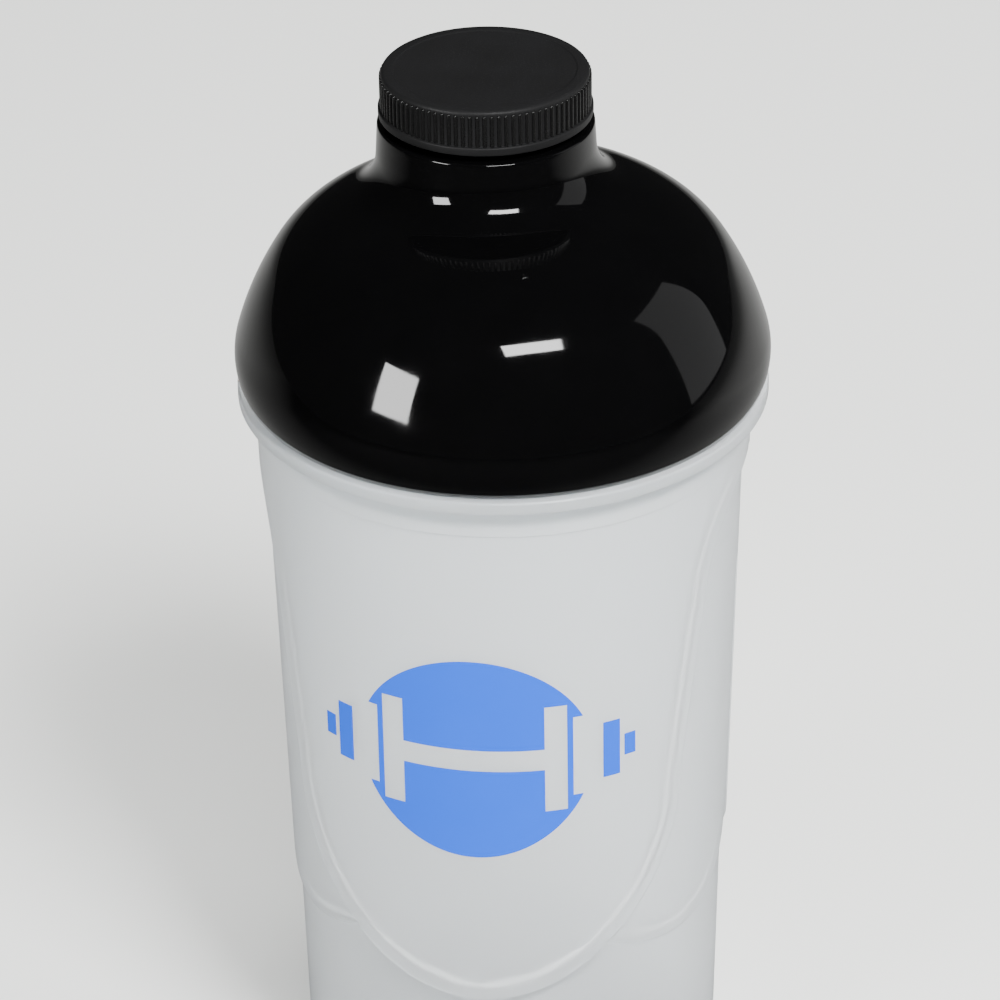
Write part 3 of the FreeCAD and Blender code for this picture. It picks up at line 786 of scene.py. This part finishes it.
# --- domed lid --------------------------------------------------------------------------------------
@dataclass
class DomeLid:
    """The glossy lid: a threaded skirt, a dome of tangent arcs and an off-centre threaded spout."""

    edge_r: float = 48.0
    edge_slope: float = -26.0
    arcs: tuple[tuple[float, float], ...] = ((12.7, 16.3), (59.0, 32.3), (23.0, 78.0), (170.0, 86.0))
    wall: float = 1.9
    skirt_bore: float = 45.5
    gasket_top: float = 14.6
    seat_r: float = 42.6
    spigot: tuple[float, float, float, float] = (41.2, 39.8, 11.0, 23.0)
    mouth: Axis = MOUTH
    mouth_r: float = 14.8
    spout: tuple[float, float, float, float] = (20.75, 31.0, 19.75, 47.5)   # foot radius, foot, top radius, top
    spout_fillet: float = 8.0
    core: tuple[float, float] = (17.6, 45.6)                                # radius and top of its hollow
    finish: tuple[float, float] = (16.5, 55.0)
    gate: tuple[float, float, float, float] = (8.2, -27.8, 33.8, 0.7)       # the gate mark: X, Y, level, size
    level_r: float = 36.0       # circles about the lid's own axis end at this radius
    thread: tuple[float, float] = (1.7, 2.0)                                # where it starts, and its foot
    thread_play: float = 0.3    # gap between the skirt's thread and the cup's
    flat_top: float = 15.0      # the hollow's circles end above this level

    def outline(self, inset: float, steps: int = 14) -> Outline:
        """The dome's outline from its edge towards its axis.

        Args:
            inset: How far inside the outer surface.
            steps: Pieces that each arc is divided into.

        Returns:
            Radii and levels.
        """
        slope = math.radians(self.edge_slope)
        hub_r = self.edge_r - self.arcs[0][0] * math.cos(slope)
        hub_z = -self.arcs[0][0] * math.sin(slope)
        points: Outline = []
        for index, (radius, end_degrees) in enumerate(self.arcs):
            end = math.radians(end_degrees)
            for turn in np.linspace(slope, end, steps + 1)[(1 if points else 0):]:
                points.append((hub_r + (radius - inset) * math.cos(turn), hub_z + (radius - inset) * math.sin(turn)))
            if index + 1 < len(self.arcs):
                hub_r += (radius - self.arcs[index + 1][0]) * math.cos(end)
                hub_z += (radius - self.arcs[index + 1][0]) * math.sin(end)
            slope = end
        return points

    def height(self, inset: float) -> Callable[[Points], Points]:
        """Work out the dome's level at any radius above its widest place.

        Args:
            inset: How far inside the outer surface.

        Returns:
            A function from radii to levels.
        """
        fine = np.array(self.outline(inset, 60))
        upper = fine[np.argmax(fine[:, 0]):][::-1]
        return lambda radius: np.interp(radius, upper[:, 0], upper[:, 1])

    def about_mouth(self, reach: Points, level: Points) -> Points:
        """Ring of points about the spout's axis.

        Args:
            reach: Distance from the axis in each direction.
            level: Level in each direction.

        Returns:
            The ring's points.
        """
        turn = np.arange(AROUND) * FULL_TURN / AROUND
        return np.column_stack([
            self.mouth[0] + reach * np.sin(turn), self.mouth[1] - reach * np.cos(turn), level + EDGE_Z])

    def spread(self, inner: Points, level_of: Callable[[Points], Points], count: int) -> list[Points]:
        """Rings on the dome between a ring about the spout and the circle about the lid's axis.

        Args:
            inner: The ring about the spout.
            level_of: The dome's level at any radius.
            count: How many rings.

        Returns:
            The rings, from the inner one outwards, without the inner one.
        """
        outer = circle(self.level_r, 0.0)
        rings = []
        for part in np.linspace(0, 1, count + 1)[1:]:
            ring = inner + (outer - inner) * part
            ring[:, 2] = level_of(np.hypot(ring[:, 0], ring[:, 1])) + EDGE_Z
            rings.append(ring)
        return rings

    def spout_fillet_rings(self, steps: int = 10) -> list[Points]:
        """Roll a ball along the joint of the dome and the spout.

        Args:
            steps: Pieces that the fillet is divided into.

        Returns:
            Rings of the fillet, from the dome upwards.
        """
        level_of = self.height(0.0)
        foot_r, foot, top_r, top = self.spout
        lean = math.atan((foot_r - top_r) / (top - foot))
        reach = np.linspace(self.spout[2] - 0.75, self.level_r, 900)
        rings = [np.zeros((AROUND, 2)) for _ in range(steps + 1)]
        for index in range(AROUND):
            turn = index * FULL_TURN / AROUND
            spot = np.hypot(self.mouth[0] + reach * math.sin(turn), self.mouth[1] - reach * math.cos(turn))
            level = level_of(spot)
            fall = np.gradient(level, reach)
            size = np.hypot(fall, 1.0)
            hub = np.column_stack([reach - fall / size * self.spout_fillet, level + self.spout_fillet / size])
            gap = (hub[:, 0] - foot_r + (hub[:, 1] - foot) * math.tan(lean)) * math.cos(lean) - self.spout_fillet
            place = np.interp(0.0, gap, np.arange(len(gap)))
            centre = np.array([np.interp(place, np.arange(len(gap)), hub[:, k]) for k in (0, 1)])
            slope = np.interp(place, np.arange(len(gap)), fall)
            start = math.atan2(-1.0, slope)
            for step in range(steps + 1):
                angle = start + (lean - math.pi - start) * step / steps
                rings[step][index] = centre + self.spout_fillet * np.array([math.cos(angle), math.sin(angle)])
        return [self.about_mouth(ring[:, 0], ring[:, 1]) for ring in rings]

    def rings(self) -> list[Points]:
        """Go over the lid's closed surface, from the outer edge over the top and back inside.

        Returns:
            All its rings in order.
        """
        level_in = self.height(self.wall)
        outer = [point for point in self.outline(0.0) if point[0] > self.level_r]
        rings = [circle(self.edge_r - 0.35, 0.0), circle(self.edge_r - 0.1, 0.08)]
        rings += [circle(radius, level) for radius, level in outer[1:]]
        fillet = self.spout_fillet_rings()
        rings += self.spread(fillet[0], self.height(0.0), 7)[::-1]
        rings += fillet
        top_r, top = self.spout[2:]
        core_r, core_top = self.core
        finish_r, finish_top = self.finish
        rings += [circle(radius, level, self.mouth) for radius, level in rounded([
            (top_r + 0.07, top - 1.0, 0), (top_r, top, 0.45),
            (finish_r, top, 0.3), (finish_r, finish_top, 0.5), (self.mouth_r, finish_top, 0.5),
            (self.mouth_r, core_top, 0.3), (core_r, core_top, 0.8), (core_r, core_top - 2.0, 0)])]
        turn = np.arange(AROUND) * FULL_TURN / AROUND
        for widen, drop in ((0.0, 0.6), (0.2, 0.2), (0.6, 0.0)):
            reach = np.full(AROUND, core_r + widen)
            spot = np.hypot(self.mouth[0] + reach * np.sin(turn), self.mouth[1] - reach * np.cos(turn))
            rings.append(self.about_mouth(reach, level_in(spot) + drop))
        rings += self.spread(rings[-1], level_in, 6)
        inner = [point for point in self.outline(self.wall)[::-1]
                 if self.level_r < point[0] < self.seat_r and point[1] > self.flat_top]
        rings += [circle(radius, level) for radius, level in inner]
        rings += [circle(radius, level) for radius, level in rounded([
            (self.seat_r, inner[-1][1] - 0.6, 0), (self.seat_r, self.gasket_top, 0.2),
            (self.skirt_bore, self.gasket_top, 0.3), (self.skirt_bore, 0.9, 0), (self.skirt_bore + 0.7, 0.0, 0)])]
        return rings

    def build(self, finish: bpy.types.Material) -> None:
        """Make the lid with its inner ring and threads and dress it.

        Args:
            finish: The lid's material.
        """
        skin = Skin()
        skin.loft(self.rings(), close=True)
        wide, narrow, low, high = self.spigot
        skin.turn(rounded([
            (wide, high, 0), (wide, low, 0.4), (narrow, low, 0.4), (narrow, high + 1.2, 0)]), close=True)
        start, foot = self.thread
        turn = (start + foot + self.thread_play - CUP_THREAD[0]) / LID_LEAD * 360.0
        for begin in (turn, turn + 180.0):
            Thread(self.skirt_bore, 44.35, foot, LID_LEAD, start, rise=7.2, angle=begin).add_to(skin)
        level, foot = SPOUT_THREAD
        Thread(self.finish[0], 17.45, foot, CAP_LEAD, level, 3.8, 0.0, self.mouth, run_in=20.0).add_to(skin)
        x, y, level, size = self.gate
        skin.turn([
            (0, level - size), (size, level - size), (size, level), (size * 0.75, level + size * 0.45),
            (size * 0.4, level + size * 0.65), (0, level + size * 0.7)], (x, y))
        settle(skin.build("lid_shell", 38.0), Body.LID, "gloss_lid", finish, "dome_lid")


# --- screw cap --------------------------------------------------------------------------------------
@dataclass
class ScrewCap:
    """The small cap: a smooth band, a ribbed drum and a shallow step in its top."""

    centre: Axis = MOUTH
    bottom: float = 49.0
    top: float = 57.4
    band: tuple[float, float] = (19.52, 50.6)
    rib: tuple[float, float, float] = (18.85, 0.36, 56.65)    # radius of the ribs' centres, size, top
    ribs: int = 92
    bore: tuple[float, float] = (17.7, 55.8)
    step: tuple[float, float] = (16.45, 0.15)
    thread: tuple[float, float] = (50.1, 1.4)                 # where it starts, and its foot
    thread_play: float = 0.2

    def rib_model(self) -> bpy.types.Object:
        """One rounded upright rib.

        Returns:
            The rib, about the origin's axis.
        """
        centre, size, top = self.rib
        skin = Skin()
        low = self.band[1] - 0.3
        outline = [(size, low), (size, top - size), (size * 0.82, top - size * 0.42), (size * 0.4, top - size * 0.08)]
        rings = []
        for radius, level in outline:
            ring = circle(radius, level, around=10)
            ring[:, 0] += centre
            rings.append(ring)
        skin.loft(rings)
        skin.faces.append(tuple(skin.add(rings[0])))
        skin.faces.append(tuple(skin.add(rings[-1])))
        return skin.build("rib", 60.0)

    def build(self, finish: bpy.types.Material, side_finish: bpy.types.Material, repeater: RingArray) -> None:
        """Make the cap, its ribs and its thread and dress them.

        Args:
            finish: Material of the band and the top.
            side_finish: Material of the ribs.
            repeater: The tree that repeats a rib.
        """
        skin = Skin()
        root, band = self.rib[0], self.band
        skin.turn(rounded([
            (0, self.top - self.step[1], 0), (self.step[0], self.top - self.step[1], 0.25),
            (self.step[0] + 0.25, self.top, 0.15), (root + 0.1, self.top, 0.75), (root, self.rib[2] - 0.5, 0.1),
            (root, band[1], 0.1), (band[0], band[1], 0.3), (band[0], self.bottom, 0.3),
            (self.bore[0], self.bottom, 0.25), (self.bore[0], self.bore[1], 0.3), (0, self.bore[1], 0)]), self.centre)
        start, foot = self.thread
        turn = (start + foot + self.thread_play - SPOUT_THREAD[0]) / CAP_LEAD * 360.0
        Thread(self.bore[0], 16.75, foot, CAP_LEAD, start, 3.0, turn, self.centre, run_in=20.0).add_to(skin)
        settle(skin.build("cap_shell"), Body.CAP, "matte_cap", finish, "screw_cap")
        ribs = repeater.repeat(self.rib_model(), self.ribs, "cap_ribs", side_finish, self.centre)
        settle(finish_mesh(ribs, "cap_ribs", 60.0), Body.CAP, "matte_cap", side_finish, "screw_cap")


# --- seals and strainer -----------------------------------------------------------------------------
@dataclass
class Seals:
    """The ring under the domed lid and the disc in the screw cap."""

    ring: tuple[float, float, float, float] = (42.6, 44.9, 13.0, 14.6)
    disc: tuple[float, float, float] = (17.3, 55.0, 55.8)
    centre: Axis = MOUTH

    def build(self, silicone: bpy.types.Material, foam: bpy.types.Material) -> None:
        """Make both seals and dress them.

        Args:
            silicone: Material of the ring.
            foam: Material of the disc.
        """
        inner, outer, low, high = self.ring
        skin = Skin()
        middle = (low + high) / 2
        skin.turn(rounded([
            (inner, middle, 0), (inner, high, 0.45), (outer, high, 0.45), (outer, low, 0.45), (inner, low, 0.45),
            (inner, middle - 0.02, 0)]), close=True)
        settle(skin.build("gasket_ring"), Body.LID_CARRIER, "seal_silicone", silicone, "lid_gasket")
        radius, low, high = self.disc
        skin = Skin()
        skin.turn(rounded([(0, low, 0), (radius, low, 0.2), (radius, high, 0.1), (0, high, 0)]), self.centre)
        settle(skin.build("cap_liner"), Body.CAP_CARRIER, "seal_foam", foam, "cap_seal")


@dataclass
class Strainer:
    """The basket that snaps onto the ring under the dome, with a grid of arc slots in its floor."""

    outer: float = 42.0
    wall: float = 0.75
    top: float = 15.2
    bottom: float = -8.8
    plate: float = 1.5
    hub: float = 7.0
    slot: float = 3.2
    bar: float = 3.2
    slots: int = 5
    spokes: int = 8
    spoke_width: float = 2.6
    eye: float = 0.6            # radius of the grid's innermost ring of points
    parts: int = 16             # pieces of each arc between two spokes
    lip: float = 0.6            # how far the wall's foot reaches in under the grid

    def sector_model(self) -> bpy.types.Object:
        """One sector of the grid, from the middle of a spoke to the middle of the next.

        Returns:
            The sector, open where it meets its neighbours.
        """
        radii = [self.eye]
        for index in range(self.slots):
            start = self.hub + index * (self.slot + self.bar)
            radii += [start, start + self.slot]
        radii.append(self.outer - self.wall)
        sector = FULL_TURN / self.spokes
        share = np.linspace(0, 1, self.parts + 1)
        rows = []
        for radius in radii:
            edge = math.asin(min(0.9 * math.sin(sector / 2), self.spoke_width / 2 / radius))
            rows.append(np.concatenate([[0.0], edge + (sector - 2 * edge) * share, [sector]]))
        skin = Skin()
        numbers = {}
        for side, level in enumerate((self.bottom, self.bottom + self.plate)):
            for row, (radius, turns) in enumerate(zip(radii, rows)):
                ring = np.column_stack([
                    radius * np.cos(turns), radius * np.sin(turns), np.full(len(turns), level + EDGE_Z)])
                numbers[side, row] = skin.add(ring)
        last = len(rows[0]) - 2
        solid = {(row, column): row % 2 == 0 or column in (0, last)
                 for row in range(len(radii) - 1) for column in range(last + 1)}
        for (row, column), filled in solid.items():
            if not filled:
                continue
            for side in (0, 1):
                low, high = numbers[side, row], numbers[side, row + 1]
                skin.faces.append((low[column], low[column + 1], high[column + 1], high[column]))
            for beside, ends in (((row, column - 1), ((row, column), (row + 1, column))),
                                 ((row, column + 1), ((row, column + 1), (row + 1, column + 1))),
                                 ((row - 1, column), ((row, column), (row, column + 1))),
                                 ((row + 1, column), ((row + 1, column), (row + 1, column + 1)))):
                if beside[0] == len(radii) - 1 or not solid.get(beside, True):
                    (r0, c0), (r1, c1) = ends
                    corners = ((0, r0, c0), (0, r1, c1), (1, r1, c1), (1, r0, c0))
                    skin.faces.append(tuple(numbers[side, r][c] for side, r, c in corners))
        for side, level in enumerate((self.bottom, self.bottom + self.plate)):
            middle, ring = skin.add(np.array([[0.0, 0.0, level + EDGE_Z]]))[0], numbers[side, 0]
            skin.faces += [(middle, ring[column], ring[column + 1]) for column in range(last + 1)]
        return skin.build("sector", 30.0)

    def build(self, finish: bpy.types.Material, repeater: RingArray) -> None:
        """Make the basket's wall and its grid and dress them.

        Args:
            finish: The basket's material.
            repeater: The tree that repeats a sector.
        """
        inner, inside = self.outer - self.wall, self.bottom + self.plate
        skin = Skin()
        skin.turn(rounded([
            (inner - self.lip, self.bottom, 0), (self.outer, self.bottom, 0.8), (self.outer, self.top, 0.3),
            (inner, self.top, 0.3), (inner, inside, 0.8), (inner - self.lip, inside, 0)]), close=True)
        settle(skin.build("strainer_wall"), Body.STRAINER, "natural_strainer", finish, "strainer")
        grid = repeater.repeat(self.sector_model(), self.spokes, "strainer_grid", finish)
        settle(finish_mesh(grid, "strainer_grid", 30.0), Body.STRAINER, "natural_strainer", finish, "strainer")


# --- ink --------------------------------------------------------------------------------------------
@dataclass
class Ink:
    """Printed layers on the panels: a plain dumbbell emblem in front and a volume scale behind."""

    panel: tuple[float, float] = (45.98, 0.0220)
    proud: float = 0.11
    level: float = -57.0
    disc_r: float = 21.5
    gap: float = 1.3
    bars: tuple[tuple[float, float, float], ...] = ((0.0, 13.0, 2.3), (13.0, 17.0, 11.5), (18.0, 21.6, 8.6))
    tips: tuple[tuple[float, float, float], ...] = ((23.2, 26.0, 6.0), (26.8, 28.6, 2.3))
    grain: float = 1.5
    lift: float = 0.02          # the ink's underside stands this clear of the panel
    scale: tuple[int, int, int] = (250, 50, 100)    # the first tick, the step, and what is numbered, in millilitres
    numeral_x: float = 10.6     # how far from the panel's middle the numbers end
    numeral_size: float = 5.2

    def wrap(self, flat: Points, proud: float, back: bool) -> Points:
        """Lay points onto the front or back panel.

        Args:
            flat: Points of x, measured across the bottle, and level.
            proud: How far they stand off the panel.
            back: Whether it is the back panel.

        Returns:
            The points in space.
        """
        radius = self.panel[0] + self.panel[1] * flat[:, 1]
        depth = np.sqrt(np.maximum(radius ** 2 - flat[:, 0] ** 2, 0.0))
        scale = (radius + proud) / radius
        side = 1.0 if back else -1.0
        return np.column_stack([flat[:, 0] * scale, side * depth * scale, flat[:, 1] + EDGE_Z])

    def lay(self, skin: Skin, outlines: Sequence[Outline], inside: Callable[[float, float], bool]) -> None:
        """Fill some outlines and lay the ink on the front panel as a thin closed solid.

        Args:
            skin: The skin to add to.
            outlines: Closed outlines of x and level.
            inside: Whether a point is inked.
        """
        points, edges = [], []
        for outline in (subdivided(outline, self.grain * 0.8) for outline in outlines):
            first = len(points)
            points += [Vector(point) for point in outline]
            edges += [(first + i, first + (i + 1) % len(outline)) for i in range(len(outline))]
        spots = np.array([tuple(point) for point in points])
        low, high = spots.min(0), spots.max(0)
        for x in np.arange(low[0] + self.grain / 2, high[0], self.grain):
            for z in np.arange(low[1] + self.grain / 2, high[1], self.grain):
                if np.min(np.hypot(spots[:, 0] - x, spots[:, 1] - z)) > self.grain * 0.5:
                    points.append(Vector((x, z)))
        flat, _, faces, *_ = delaunay_2d_cdt(points, edges, [], 0, 1e-4)
        flat = np.array([tuple(point) for point in flat])
        self.press(skin, flat, [face for face in faces if inside(*flat[list(face)].mean(0))], back=False)

    def press(self, skin: Skin, flat: Points, kept: Sequence[Sequence[int]], back: bool) -> None:
        """Lay flat faces of x and level on the panel as a thin closed solid.

        Args:
            skin: The skin to add to.
            flat: Points of x and level.
            kept: The faces to ink.
            back: Whether they lie on the back panel.
        """
        rim: dict[tuple[int, int], None] = {}
        for face in kept:
            for a, b in zip(face, list(face[1:]) + [face[0]]):
                if (b, a) in rim:
                    del rim[b, a]
                else:
                    rim[a, b] = None
        upper = skin.add(self.wrap(flat, self.proud, back))
        lower = skin.add(self.wrap(flat, self.lift, back))
        for face in kept:
            skin.faces.append(tuple(upper[i] for i in face))
            skin.faces.append(tuple(lower[i] for i in face[::-1]))
        skin.faces += [(upper[b], upper[a], lower[a], lower[b]) for a, b in rim]

    def emblem_outlines(self) -> list[Outline]:
        """Outlines of the disc, of the dumbbell inside it and of its ends outside it.

        Returns:
            Closed outlines of x and level.
        """
        turn = np.linspace(0, FULL_TURN, 180, endpoint=False)
        outlines = [[(radius * math.cos(t), self.level + radius * math.sin(t)) for t in turn]
                    for radius in (self.disc_r, self.disc_r + self.gap)]
        for x_from, x_to, half in self.bars + self.tips:
            for left, right in ((x_from, x_to), (-x_to, -x_from)):
                outlines.append([(left, self.level - half), (right, self.level - half),
                                 (right, self.level + half), (left, self.level + half)])
        return outlines

    def emblem_inked(self, x: float, z: float) -> bool:
        """Whether a point of the front panel is inked.

        Args:
            x: Its place across the bottle.
            z: Its level.

        Returns:
            True where there is ink.
        """
        reach = math.hypot(x, z - self.level)

        def among(rows: Sequence[tuple[float, float, float]]) -> bool:
            """Whether the point lies in one of some upright bars on either side."""
            return any(low < abs(x) < high and abs(z - self.level) < half for low, high, half in rows)

        return (reach < self.disc_r and not among(self.bars)) or (reach > self.disc_r + self.gap and among(self.tips))

    def marks(self, ticks: bpy.types.Object) -> list[tuple[int, float]]:
        """The numbered marks, read off the printed ticks.

        Args:
            ticks: The CAD node of the ticks.

        Returns:
            The millilitres and the height above the base of each numbered mark.
        """
        heights = np.unique([vertex.co.z / MM for vertex in ticks.data.vertices])
        groups = np.split(heights, np.flatnonzero(np.diff(heights) > 2.0) + 1)
        first, step, numbered = self.scale
        marks = [(first + step * index, (group[0] + group[-1]) / 2) for index, group in enumerate(groups)]
        return [(millilitres, height) for millilitres, height in marks if millilitres % numbered == 0]

    def numeral(self, millilitres: int, height: float) -> tuple[Points, list[tuple[int, ...]]]:
        """A number of the scale as flat faces, mirrored so that it reads from behind.

        Args:
            millilitres: The number.
            height: Height above the base of its middle, in millimetres.

        Returns:
            Points of x and level, and the faces.
        """
        curve = bpy.data.curves.new("numeral", "FONT")
        curve.body = str(millilitres)
        curve.size = self.numeral_size
        curve.align_x, curve.align_y = "RIGHT", "CENTER"
        curve.resolution_u = 3
        holder = bpy.data.objects.new("numeral", curve)
        mesh = bpy.data.meshes.new_from_object(holder)
        flat = np.array([(-self.numeral_x - v.co.x, v.co.y + height - EDGE_Z) for v in mesh.vertices])
        faces = [tuple(polygon.vertices)[::-1] for polygon in mesh.polygons]
        bpy.data.objects.remove(holder)
        bpy.data.meshes.remove(mesh)
        return flat, faces

    def build(self, finish: bpy.types.Material) -> None:
        """Make the emblem and the scale's numbers and dress them, with the ticks.

        Args:
            finish: The ink.
        """
        skin = Skin()
        self.lay(skin, self.emblem_outlines(), self.emblem_inked)
        settle(skin.build("front_emblem", 30.0), Body.CUP, "blue_ink", finish, "printed_mark")
        skin = Skin()
        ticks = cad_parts["volume_scale"]
        for millilitres, height in self.marks(ticks):
            self.press(skin, *self.numeral(millilitres, height), back=True)
        settle(skin.build("scale_numbers", 30.0), Body.CUP, "blue_ink", finish)
        ticks.data.materials.clear()
        ticks.data.materials.append(finish)


# --- studio -----------------------------------------------------------------------------------------
@dataclass(frozen=True)
class SoftBox:
    """A rectangular area light aimed at the bottle."""

    name: str
    azimuth: float              # degrees round from the camera's side, towards its right
    elevation: float
    distance: float
    size: tuple[float, float]
    watts: float
    mirrored: bool = True       # whether glossy surfaces show it

    def place(self, aim: Vector, front: float) -> None:
        """Create the light.

        Args:
            aim: The point it faces.
            front: The camera's own azimuth in degrees.
        """
        lamp = bpy.data.lights.new(self.name, "AREA")
        lamp.shape = "RECTANGLE"
        lamp.size, lamp.size_y = self.size
        lamp.energy = self.watts
        holder = bpy.data.objects.new(self.name, lamp)
        turn, rise = math.radians(front + self.azimuth), math.radians(self.elevation)
        back = Vector((math.sin(turn) * math.cos(rise), -math.cos(turn) * math.cos(rise), math.sin(rise)))
        holder.location = aim + back * self.distance
        holder.rotation_euler = back.to_track_quat("Z", "Y").to_euler()
        holder.visible_glossy = self.mirrored
        bpy.context.scene.collection.objects.link(holder)


@dataclass
class Studio:
    """Pale floor, soft light and the camera."""

    azimuth: float = 8.5
    pitch: float = 29.97
    roll: float = -0.85
    focal: float = 162.0
    distance: float = 0.8304
    offset: tuple[float, float] = (0.000684, 0.02891)    # of the lid's edge centre, as tangents right and up
    floor_reach: float = 4000.0
    paper: tuple[float, float, float] = (0.80, 0.81, 0.79)
    room_front: tuple[float, float, float] = (0.01, 0.01, 0.01)    # painted reflection: the dark painted shade that gloss sees on the floor in front, standing in for a dim room
    room_back: tuple[float, float, float] = (0.26, 0.26, 0.255)    # painted reflection behind, a lighter painted shade
    room_depth: tuple[float, float] = (-0.15, 0.35)                # where one turns into the other, along Y
    air: tuple[float, float] = (0.36, 0.02)                        # even light, and what gloss sees of it
    boxes: tuple[SoftBox, ...] = (
        SoftBox("window_left", -48.0, 18.0, 1.5, (0.42, 0.42), 13.0),
        SoftBox("window_front", 17.0, 47.0, 1.5, (0.62, 0.24), 16.0),
        SoftBox("wall_right", 96.0, 20.0, 1.7, (0.9, 1.3), 2.0),
        SoftBox("key", 30.0, 48.0, 1.3, (0.4, 0.4), 36.0, mirrored=False),
        SoftBox("side", 100.0, 40.0, 1.3, (0.8, 0.8), 10.0, mirrored=False),
        SoftBox("back", 165.0, 40.0, 1.3, (0.9, 0.6), 10.0, mirrored=False))

    def camera(self) -> None:
        """Create the camera."""
        turn, tilt, roll = (math.radians(v) for v in (self.azimuth, self.pitch, self.roll))
        right = Vector((math.cos(turn), math.sin(turn), 0))
        ahead = Vector((-math.sin(turn) * math.cos(tilt), math.cos(turn) * math.cos(tilt), -math.sin(tilt)))
        up = right.cross(ahead)
        across = right * math.cos(roll) + up * math.sin(roll)
        upright = up * math.cos(roll) - right * math.sin(roll)
        target = Vector((0, 0, EDGE_Z * MM))
        place = target - (across * self.offset[0] + upright * self.offset[1] + ahead) * self.distance
        data = bpy.data.cameras.new("camera")
        data.lens = self.focal
        data.sensor_width = 36.0
        data.clip_start, data.clip_end = 0.01, 20.0
        holder = bpy.data.objects.new("camera", data)
        holder.matrix_world = Matrix.Translation(place) @ Matrix((across, upright, -ahead)).transposed().to_4x4()
        bpy.context.scene.collection.objects.link(holder)
        bpy.context.scene.camera = holder

    def floor(self) -> None:
        """Create the floor: pale paper, which glossy rays see with a painted reflection of a dim room, dark in front
        of the bottle and lighter behind.
        """
        skin = Skin()
        reach = self.floor_reach
        corners = [(-reach, -reach), (reach, -reach), (reach, reach), (-reach, reach)]
        skin.faces.append(tuple(skin.add(np.array([(x, y, 0.0) for x, y in corners]))))
        piece = skin.build("floor")
        material = bpy.data.materials.new("pale_paper")
        material.use_nodes = True
        shader = material.node_tree.nodes["Principled BSDF"]
        nodes, link = material.node_tree.nodes, material.node_tree.links.new
        path, mirrored = nodes.new("ShaderNodeLightPath"), nodes.new("ShaderNodeMath")
        place, parts = nodes.new("ShaderNodeTexCoord"), nodes.new("ShaderNodeSeparateXYZ")
        behind, painted_reflection, tint = nodes.new("ShaderNodeMapRange"), nodes.new("ShaderNodeMix"), nodes.new("ShaderNodeMix")
        mirrored.operation = "SUBTRACT"
        mirrored.use_clamp = True
        tint.data_type = "RGBA"
        tint.inputs["A"].default_value = (*self.paper, 1.0)
        behind.inputs["From Min"].default_value, behind.inputs["From Max"].default_value = self.room_depth
        painted_reflection.data_type = "RGBA"
        painted_reflection.inputs["A"].default_value = (*self.room_front, 1.0)
        painted_reflection.inputs["B"].default_value = (*self.room_back, 1.0)
        link(place.outputs["Object"], parts.inputs[0])
        link(parts.outputs["Y"], behind.inputs["Value"])
        link(behind.outputs["Result"], painted_reflection.inputs["Factor"])
        link(painted_reflection.outputs["Result"], tint.inputs["B"])
        # painted reflection: glossy rays that do not pass through the cup see painted shade here instead of the
        # paper, dark in front and lighter behind
        link(path.outputs["Is Glossy Ray"], mirrored.inputs[0])
        link(path.outputs["Is Transmission Ray"], mirrored.inputs[1])
        link(mirrored.outputs[0], tint.inputs["Factor"])
        link(tint.outputs["Result"], shader.inputs["Base Color"])
        shader.inputs["Roughness"].default_value = 0.9
        shader.inputs["Specular IOR Level"].default_value = 0.1
        piece.data.materials.append(material)
        if piece.data.polygons[0].normal.z < 0:
            piece.data.flip_normals()

    def world(self) -> None:
        """Soft even light, which glossy surfaces see as a dim room."""
        world = bpy.data.worlds.new("studio")
        bpy.context.scene.world = world
        world.use_nodes = True
        nodes, link = world.node_tree.nodes, world.node_tree.links.new
        nodes.clear()
        even, dim = nodes.new("ShaderNodeBackground"), nodes.new("ShaderNodeBackground")
        even.inputs["Color"].default_value = (1.0, 1.0, 0.985, 1.0)
        even.inputs["Strength"].default_value, dim.inputs["Strength"].default_value = self.air
        dim.inputs["Color"].default_value = (1.0, 1.0, 1.0, 1.0)
        path, mix = nodes.new("ShaderNodeLightPath"), nodes.new("ShaderNodeMixShader")
        out = nodes.new("ShaderNodeOutputWorld")
        link(path.outputs["Is Glossy Ray"], mix.inputs[0])
        link(even.outputs[0], mix.inputs[1])
        link(dim.outputs[0], mix.inputs[2])
        link(mix.outputs[0], out.inputs["Surface"])

    def build(self) -> None:
        """Set up the whole studio."""
        self.camera()
        self.floor()
        self.world()
        aim = Vector((0, 0, EDGE_Z * MM))
        for box in self.boxes:
            box.place(aim, self.azimuth)


def main() -> None:
    """Build every sub-assembly in order."""
    logging.basicConfig(level=logging.INFO, format="%(name)s: %(message)s")
    surface, repeater = MouldedSurface(), RingArray()
    natural, matte = NATURAL_WHITE.make(surface), MATTE_BLACK.make(surface)
    Studio().build()
    Cup().build(FROSTED.make(surface))
    DomeLid().build(GLOSS_BLACK.make(surface))
    ScrewCap().build(matte, SATIN_BLACK.make(surface), repeater)
    Seals().build(SILICONE.make(surface), LINER_FOAM.make(surface))
    Strainer().build(natural, repeater)
    Ink().build(BLUE_INK.make(surface))


if __name__ == "__main__":
    main()
